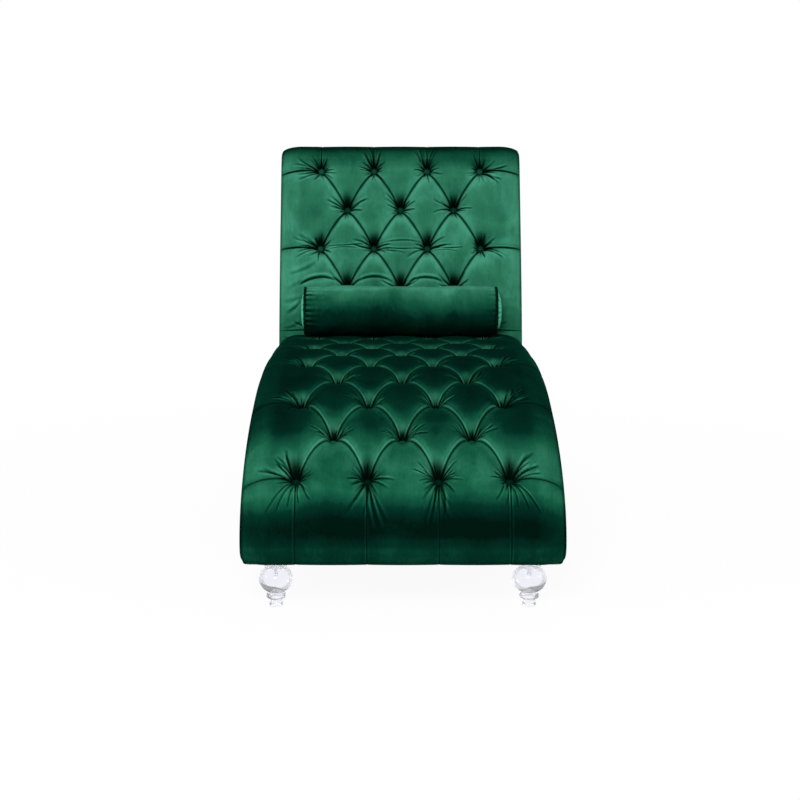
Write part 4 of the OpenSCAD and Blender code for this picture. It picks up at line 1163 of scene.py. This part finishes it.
def bolster_tube():
    """radius = 61.5 mm + 2.5 mm*sqrt(1-(x/seam)^4), or the cloth's own radius, with soft dents and
    gathers near the seams. An inner wall 2.5 mm below closes it."""
    rows, around = 201, 240
    x = np.linspace(-seam_x, seam_x, rows)[:, None]
    angle = angles(around)
    share = x / seam_x
    radius = tube_radius + tube_swell * swell(share)
    radius = softened(finer(cloth_radius(), rows, around), 3)
    rng = np.random.default_rng(5)
    dents = np.zeros((rows, around))
    for _ in range(14):
        turns = rng.integers(1, 4)
        dents += rng.uniform(0.0001, 0.0005) * np.cos(
            turns * angle + rng.uniform(0, 6.3) + rng.uniform(-6, 6) * share)
    from_seam = seam_x - np.abs(x)
    gathers = (random_waves(rng, 7, (14, 34), (0.2, 0.6), angle)
               * (0.00044 - 0.00030 * np.sign(x)) * np.exp(-from_seam / 0.013))
    radius = radius + dents * np.clip(from_seam / 0.03, 0, 1) + gathers
    points = np.stack([rolled(x, radius, angle), rolled(x, radius - tube_wall, angle)])
    shift = rows * around
    j = np.arange(around)
    k = (j + 1) % around
    last = (rows - 1) * around
    rims = [np.stack([p + shift, q + shift, q, p], 1) for p, q in ((k, j), (last + j, last + k))]
    mesh = new_mesh("bolster_tube", points.reshape(-1, 3),
                    [grid_corners(rows, around, flip=True, tube=True),
                     grid_corners(rows, around, shift, tube=True), *rims])
    # Painted shade in the gathers and at both seams; painted highlight on the gathers' ridges.
    fold = np.clip(-gathers / 0.0010, 0, 0.5) + 0.7 * np.exp(-from_seam / 0.002)
    nap = np.clip(bolster_painted_light(angle) + 0.22 * np.clip(gathers / 0.0008, -1, 1), 0, 1.3)
    give_painted_light(mesh, np.tile(fold.ravel(), 2), np.tile(nap.ravel(), 2))
    add_piece("bolster_tube", mesh, bolster_green, "bolster",
                        "bolster_cover")


bolster_tube()


def bolster_end(name, side, node):
    """A dome over the tube's end: tall*(1-(r/R)^4), with gathers that run to the middle."""
    rings, around = 34, 160
    share = np.linspace(1, 0.004, rings)[:, None]
    angle = angles(around)
    rng = np.random.default_rng(8 if side < 0 else 9)
    gathers = (random_waves(rng, 6, (9, 28), (0.2, 0.7), angle)
               * 0.0007 * np.exp(-(1 - share) / 0.25))
    tall = 0.0150 + 0.0015 * side
    rise = tall * (1 - share ** 4) + gathers * np.clip((1 - share) / 0.03, 0, 1)
    body = rolled(side * (dome_x + rise), dome_radius * share, angle)
    points = np.vstack([body.reshape(-1, 3), [side * (dome_x + tall), bolster_y, bolster_z]])
    j = np.arange(around)
    last = (rings - 1) * around
    fan = np.stack([last + j, last + (j + 1) % around, np.full(around, rings * around)], 1)
    faces = [grid_corners(rings, around, tube=True), fan, j[None, ::-1]]
    if side > 0:
        faces = [group[:, ::-1] for group in faces]
    mesh = new_mesh(name, points, faces)
    # Painted shade in the gathers and round the rim; the whole end gets a high level of painted
    # light.
    fold = np.clip(-gathers / 0.0006, 0, 0.5) + 0.3 * np.exp(-(1 - share) / 0.02)
    give_painted_light(mesh, np.append(fold, 0), 1.25)
    add_piece(name, mesh, painted_light_end_green, "bolster", node)


bolster_end("bolster_dome_left", -1, "bolster_end_left")
bolster_end("bolster_dome_right", 1, "bolster_end_right")


def piping(name, side, node):
    """A rope bent into a ring: the tube's own circle carried round the seam."""
    around, turn = 180, 16
    big, small = angles(around).T, angles(turn)
    rope = 0.0030 + 0.00012 * np.sin(big * 47) + 0.0001 * np.sin(big * 13 + 1)
    points = rolled(side * rope_x + rope * np.sin(small), rope_ring + rope * np.cos(small), big)
    mesh = new_mesh(name, points.reshape(-1, 3),
                    [grid_corners(around + 1, turn, tube=True) % (around * turn)])
    # The rope is painted dark, as the shade of the seam it lies in.
    give_painted_light(mesh, 0.72, 0.35)
    add_piece(name, mesh, bolster_green, "bolster", node)


piping("bolster_rope_left", -1, "bolster_piping_left")
piping("bolster_rope_right", 1, "bolster_piping_right")


def bolster_fibre():
    """The filling: the tube's own profile, about 6 mm smaller, closed at both ends."""
    rows, around = 41, 72
    x = np.linspace(-fibre_x, fibre_x, rows)[:, None]
    angle = angles(around)
    radius = (fibre_radius + 0.0022 * swell(x / fibre_x)
              + 0.0006 * np.sin(7 * angle + 60 * x) * np.cos(3 * angle))
    mesh = new_mesh("bolster_fibre", rolled(x, radius, angle).reshape(-1, 3),
                    capped_tube(rows, around))
    f = Finish("fibre_white")
    strands = f.streaks(f.place(), (90.0, 260.0, 260.0), 3.0, 0.7, 1.5)
    finish = f.surface(Base_Color=f.mixed(strands, (0.70, 0.70, 0.67), (0.92, 0.92, 0.90)),
                       Roughness=0.95, Specular_IOR_Level=0.1, Normal=f.bumped(strands, 0.6, 0.002))
    add_piece("bolster_fibre", mesh, finish, "bolster", "bolster_filling")


bolster_fibre()

# %% [markdown]
# ## Turned feet
# The feet are cast in clear acrylic and polished: a disc, a short stem, a bead, a large ball and a
# collar. A profile turned round its axis gives them, with the bore of the bolt inside. Clear
# plastic shows what is behind it, so the floor and the sky of the studio make most of its look.

# %% Feet
foot_height = 0.090
bore_radius, bore_top = 0.0041, 0.0630
ball_radius, ball_low, ball_top = 0.035, 0.029, 0.080
feet = {"front_left": (-0.256, -0.622), "front_right": (0.256, -0.622),
        "rear_left": (-0.256, 0.550), "rear_right": (0.256, 0.550)}


def foot_profile():
    """Radius and height from the underside up; the bead is drawn with sin and cos, and the ball by
    two arcs from its middle, 68 degrees down and 50 degrees up."""
    middle = ball_low + (ball_top - ball_low) * 0.54
    bead = np.linspace(0, math.pi, 15)
    start = [(0.0118, 0.0), (0.0134, 0.0006), (0.0140, 0.002), (0.0140, 0.0065), (0.0136, 0.0080),
             (0.0128, 0.0090), (0.0120, 0.0105), (0.0125, 0.0160)]
    parts = [start, np.stack([0.014 + 0.0065 * np.sin(bead), 0.022 - 0.006 * np.cos(bead)], 1),
             [(0.0130, 0.0288)]]
    for turns, reach, limit in ((np.linspace(-68, 0, 15), middle - ball_low, 68),
                                (np.linspace(4, 50, 12), ball_top - middle, 50)):
        turns = np.radians(turns)
        parts.append(np.stack([ball_radius * np.cos(turns), middle + reach
                               / math.sin(math.radians(limit)) * np.sin(turns)], 1))
    collar = [(0.0215, 0.0810), (0.0226, 0.0820), (0.0230, 0.0835), (0.0230, 0.0895),
              (0.0226, foot_height), (bore_radius, foot_height), (bore_radius, bore_top)]
    return np.vstack(parts + [collar])


def acrylic_finish():
    """Clear where it is looked straight through, with a painted grey shade where the surface turns
    away.
    """
    f = Finish("acrylic_clear")
    where = f.place()
    haze = f.noise(where, 35.0, 2.0)
    scuffs = f.streaks(where, (40.0, 40.0, 900.0))
    # rim: a painted grey shade towards the edges, where the surface turns away from the eye.
    rim = f.add("ShaderNodeLayerWeight", None, {"Blend": 0.35})["Facing"]
    clear = f.mixed(haze, (0.79, 0.81, 0.945), (0.92, 0.93, 1.0))
    return f.surface(Base_Color=f.mixed((rim ** 3 * 1.2).kept(), clear, (0.30, 0.31, 0.38)),
                     Roughness=0.015 + haze * 0.03, IOR=1.32, Transmission_Weight=1.0,
                     Alpha=0.62, Normal=f.bumped(scuffs, 0.02, 0.0005))


acrylic = acrylic_finish()


def foot(name, x, y, around=96):
    """The profile turned round the foot's axis, closed by a flat pole below and in the bore."""
    profile = foot_profile()
    outline = np.vstack([[(0, 0)], profile, [(0, bore_top)]])
    mesh = new_mesh("foot_" + name, turned_points(outline, around) + np.array([x, y, 0]),
                    [g[:, ::-1] for g in turned_faces(len(profile), around)])
    add_piece("foot_" + name, mesh, acrylic, "couch", "leg_" + name)


for name, (x, y) in feet.items():
    foot(name, x, y)

# %% [markdown]
# ## Dust cover
# Black non-woven cloth is stapled under the frame to keep dust in and hide the springs. It is a
# single sheet, cut out round the collars of the feet, and sags a little between the rails.

# %% Dust cover
def dust_cloth():
    """A level grid; points just inside a foot's hole move to its edge, and faces inside it go. It
    sags by 1.6 mm, with ripples of 0.3 mm."""
    f = Finish("dust_cloth_black")
    where = f.place()
    fibres = f.noise(where, 900.0, 3.0, 0.7)
    dots = f.noise(where, 260.0, 1.0)
    colour = f.mixed(fibres, (0.006, 0.006, 0.007), (0.035, 0.035, 0.038))
    finish = f.surface(Base_Color=colour, Roughness=0.85, Specular_IOR_Level=0.25,
                       Normal=f.bumped(fibres + dots, 0.5, 0.0006))
    side, front, rear, hole = 0.313, -0.636, 0.610, 0.0233
    x, y = np.meshgrid(np.linspace(-side, side, 127), np.linspace(front, rear, 251))
    gap = np.full(x.shape, 9.0)
    for cx, cy in feet.values():
        away = np.hypot(x - cx, y - cy)
        push = (away < hole) & (away > hole - 0.0036)
        x, y = (np.where(push, cx + (x - cx) / np.maximum(away, 1e-6) * hole, x),
                np.where(push, cy + (y - cy) / np.maximum(away, 1e-6) * hole, y))
        gap = np.minimum(gap, away)
    edge = np.minimum(side - np.abs(x), np.minimum(y - front, rear - y))
    loose = np.clip(edge / 0.08, 0, 1) * np.clip((gap - hole) / 0.05, 0, 1)
    z = 0.0896 - 0.0016 * loose - 0.0003 * loose * np.sin(x * 70) * np.sin(y * 55)
    quads = grid_corners(*x.shape, flip=True)
    keep = gap.ravel()[quads].mean(1) > hole - 0.001
    used = np.unique(quads[keep])
    renumber = np.zeros(x.size, int)
    renumber[used] = np.arange(len(used))
    points = np.stack([x, y, z], -1).reshape(-1, 3)[used]
    mesh = new_mesh("dust_cloth", points, [renumber[quads[keep]]])
    piece = add_piece("dust_cloth", mesh, finish, "couch", "dust_cover")


dust_cloth()

# %% [markdown]
# ## Wood and steel inside
# The frame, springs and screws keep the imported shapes, which are right as they are, and only get
# their finishes: plywood with its layers, planed wood with long grain, brown hardboard, zinc and
# oiled spring steel.

# %% Wood and metal finishes
def wood(name, light, dark, along, grain=1.0, rough=0.6):
    """Long bands of grain across two axes, pores stretched along the third."""
    f = Finish(name)
    where = f.place()
    band_scale, pore_scale = [34.0 * grain] * 3, [900.0 * grain] * 3
    band_scale[along], pore_scale[along] = 1.6 * grain, 30.0 * grain
    bands = f.streaks(where, tuple(band_scale), 4.0, 0.6, 1.2)
    pores = f.streaks(where, tuple(pore_scale))
    colour = f.mixed((bands * 1.5 + pores * 0.25 - 0.4).kept(), dark, light)
    return f.surface(Base_Color=colour, Roughness=rough + bands * 0.15,
                     Normal=f.bumped(pores + bands, 0.3, 0.0006))


def plywood_finish():
    """Layers show where the board is cut: thin bands along the board's thickness."""
    f = Finish("plywood_birch")
    where = f.place()
    face = f.streaks(where, (20.0, 2.2, 30.0), 4.0, 0.6, 0.8)
    layers = f.add("ShaderNodeTexWave", {"wave_type": "BANDS", "bands_direction": "X"},
                   {"Vector": where, "Scale": 110.0, "Distortion": 0.3, "Detail": 1.0})["Fac"]
    colour = f.mixed((face * 0.8 + layers * 0.35 - 0.05).kept(), (0.42, 0.28, 0.14),
                     (0.74, 0.58, 0.38))
    return f.surface(Base_Color=colour, Roughness=0.55 + face * 0.2,
                     Normal=f.bumped(face + layers * 0.5, 0.2, 0.0006))


def metal(name, colour, worn, rough):
    """Plated steel: a metallic base with faint clouds and fine scratches."""
    f = Finish(name)
    where = f.place()
    clouds = f.noise(where, 60.0, 3.0)
    scratches = f.streaks(where, (400.0, 60.0, 400.0))
    return f.surface(Base_Color=f.mixed(clouds, worn, colour), Metallic=1.0,
                     Roughness=rough + clouds * 0.15, Normal=f.bumped(scratches, 0.15, 0.0002))


rail_wood = wood("hardwood_rails", (0.60, 0.43, 0.25), (0.38, 0.24, 0.12), along=0)
block_wood = wood("hardwood_blocks", (0.62, 0.46, 0.27), (0.40, 0.26, 0.13), along=1)
board = wood("hardboard_brown", (0.38, 0.25, 0.14), (0.24, 0.14, 0.07), along=0, grain=0.6,
             rough=0.5)
zinc = metal("zinc_plate", (0.72, 0.73, 0.76), (0.50, 0.50, 0.52), 0.28)
spring = metal("spring_steel_oiled", (0.30, 0.31, 0.33), (0.16, 0.16, 0.17), 0.34)
finishes = {"side_frame": plywood_finish(), "rail": rail_wood, "corner_block": block_wood,
            "nose_board": board, "springs": spring, "clips": zinc, "screws": zinc, "bolts": zinc,
            "t_nuts": zinc}
dressed = 0
for node_name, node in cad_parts.items():
    for word, finish in finishes.items():
        if word in node_name and not node.hide_render:
            node.data.materials.clear()
            node.data.materials.append(finish)
            dressed += 1
            break
print("packed nodes with a finish:", dressed)

# %% [markdown]
# ## Studio
# A plain white floor and sky surround the couch. Seen directly, in a reflection or through the
# clear feet, they are plain white; for everything else they only give a soft grey light. The floor
# is partly real, so it keeps the couch's shadow.

# %% Floor, sky and lamps
soft_light = 0.30
plain_white = (1.0, 1.0, 1.0)


def white_rays(f):
    """1 for rays that come from the camera, from a reflection or through clear plastic."""
    path = f.add("ShaderNodeLightPath")
    return (path["Is Camera Ray"] + path["Is Glossy Ray"] + path["Is Transmission Ray"]).kept()


def floor_finish():
    """Matt grey that glows plain white for those rays, a little more the further away it is."""
    f = Finish("floor_white")
    seen = white_rays(f)
    distance = f.add("ShaderNodeVectorMath", {"operation": "LENGTH"}, {0: f.place()})["Value"]
    share = (0.965 + (distance - 1.0) * 0.035).kept()
    matt = f.add("ShaderNodeBsdfDiffuse", None, {"Color": (0.88, 0.88, 0.88)})["BSDF"]
    glow = f.add("ShaderNodeEmission", None, {"Color": plain_white, "Strength": 1.0})["Emission"]
    both = f.add("ShaderNodeMixShader", None, {0: seen * share, 1: matt, 2: glow})
    return f.finished(both["Shader"])


floor_mesh = new_mesh("floor", np.array([(-9, -9, 0), (9, -9, 0), (9, 9, 0), (-9, 9, 0)], float),
                      [np.array([[0, 1, 2, 3]])], soft=False)
floor_mesh.materials.append(floor_finish())
floor = bpy.data.objects.new("floor", floor_mesh)
bpy.context.scene.collection.objects.link(floor)

sky = Finish("studio_sky", bpy.data.worlds.new("studio_sky"))
bpy.context.scene.world = sky.owner
level = white_rays(sky) * (1.0 - soft_light) + soft_light
back_light = sky.add("ShaderNodeBackground", None, {"Color": plain_white, "Strength": level})
sky.add("ShaderNodeOutputWorld", None, {"Surface": back_light["Background"]})


def lamp(name, place, target, size, watts):
    """A soft square lamp that looks at a target."""
    data = bpy.data.lights.new(name, "AREA")
    data.shape = "RECTANGLE"
    data.size, data.size_y = size
    data.energy = watts
    lamp_object = bpy.data.objects.new(name, data)
    aim = np.subtract(target, place)
    aim = aim / np.linalg.norm(aim)
    lamp_object.location = place
    lamp_object.rotation_euler = (math.acos(-aim[2]), 0, math.atan2(aim[0], -aim[1]) + math.pi)
    bpy.context.scene.collection.objects.link(lamp_object)


lamp("key_lamp", (-0.5, -3.7, 2.3), (0, 0, 0.45), (1.2, 0.9), 150)
lamp("left_lamp", (-2.7, -1.4, 1.3), (0, -0.1, 0.35), (1.2, 1.2), 16)
lamp("right_lamp", (2.7, -1.4, 1.3), (0, -0.1, 0.35), (1.2, 1.2), 16)
lamp("top_lamp", (0.2, 0.3, 3.2), (0, 0, 0.4), (1.8, 1.8), 8)
lamp("rear_lamp", (0.8, 3.6, 2.0), (0, 0.3, 0.45), (1.8, 1.4), 40)
print("lamps set")

# %% Finish
bpy.context.view_layer.update()
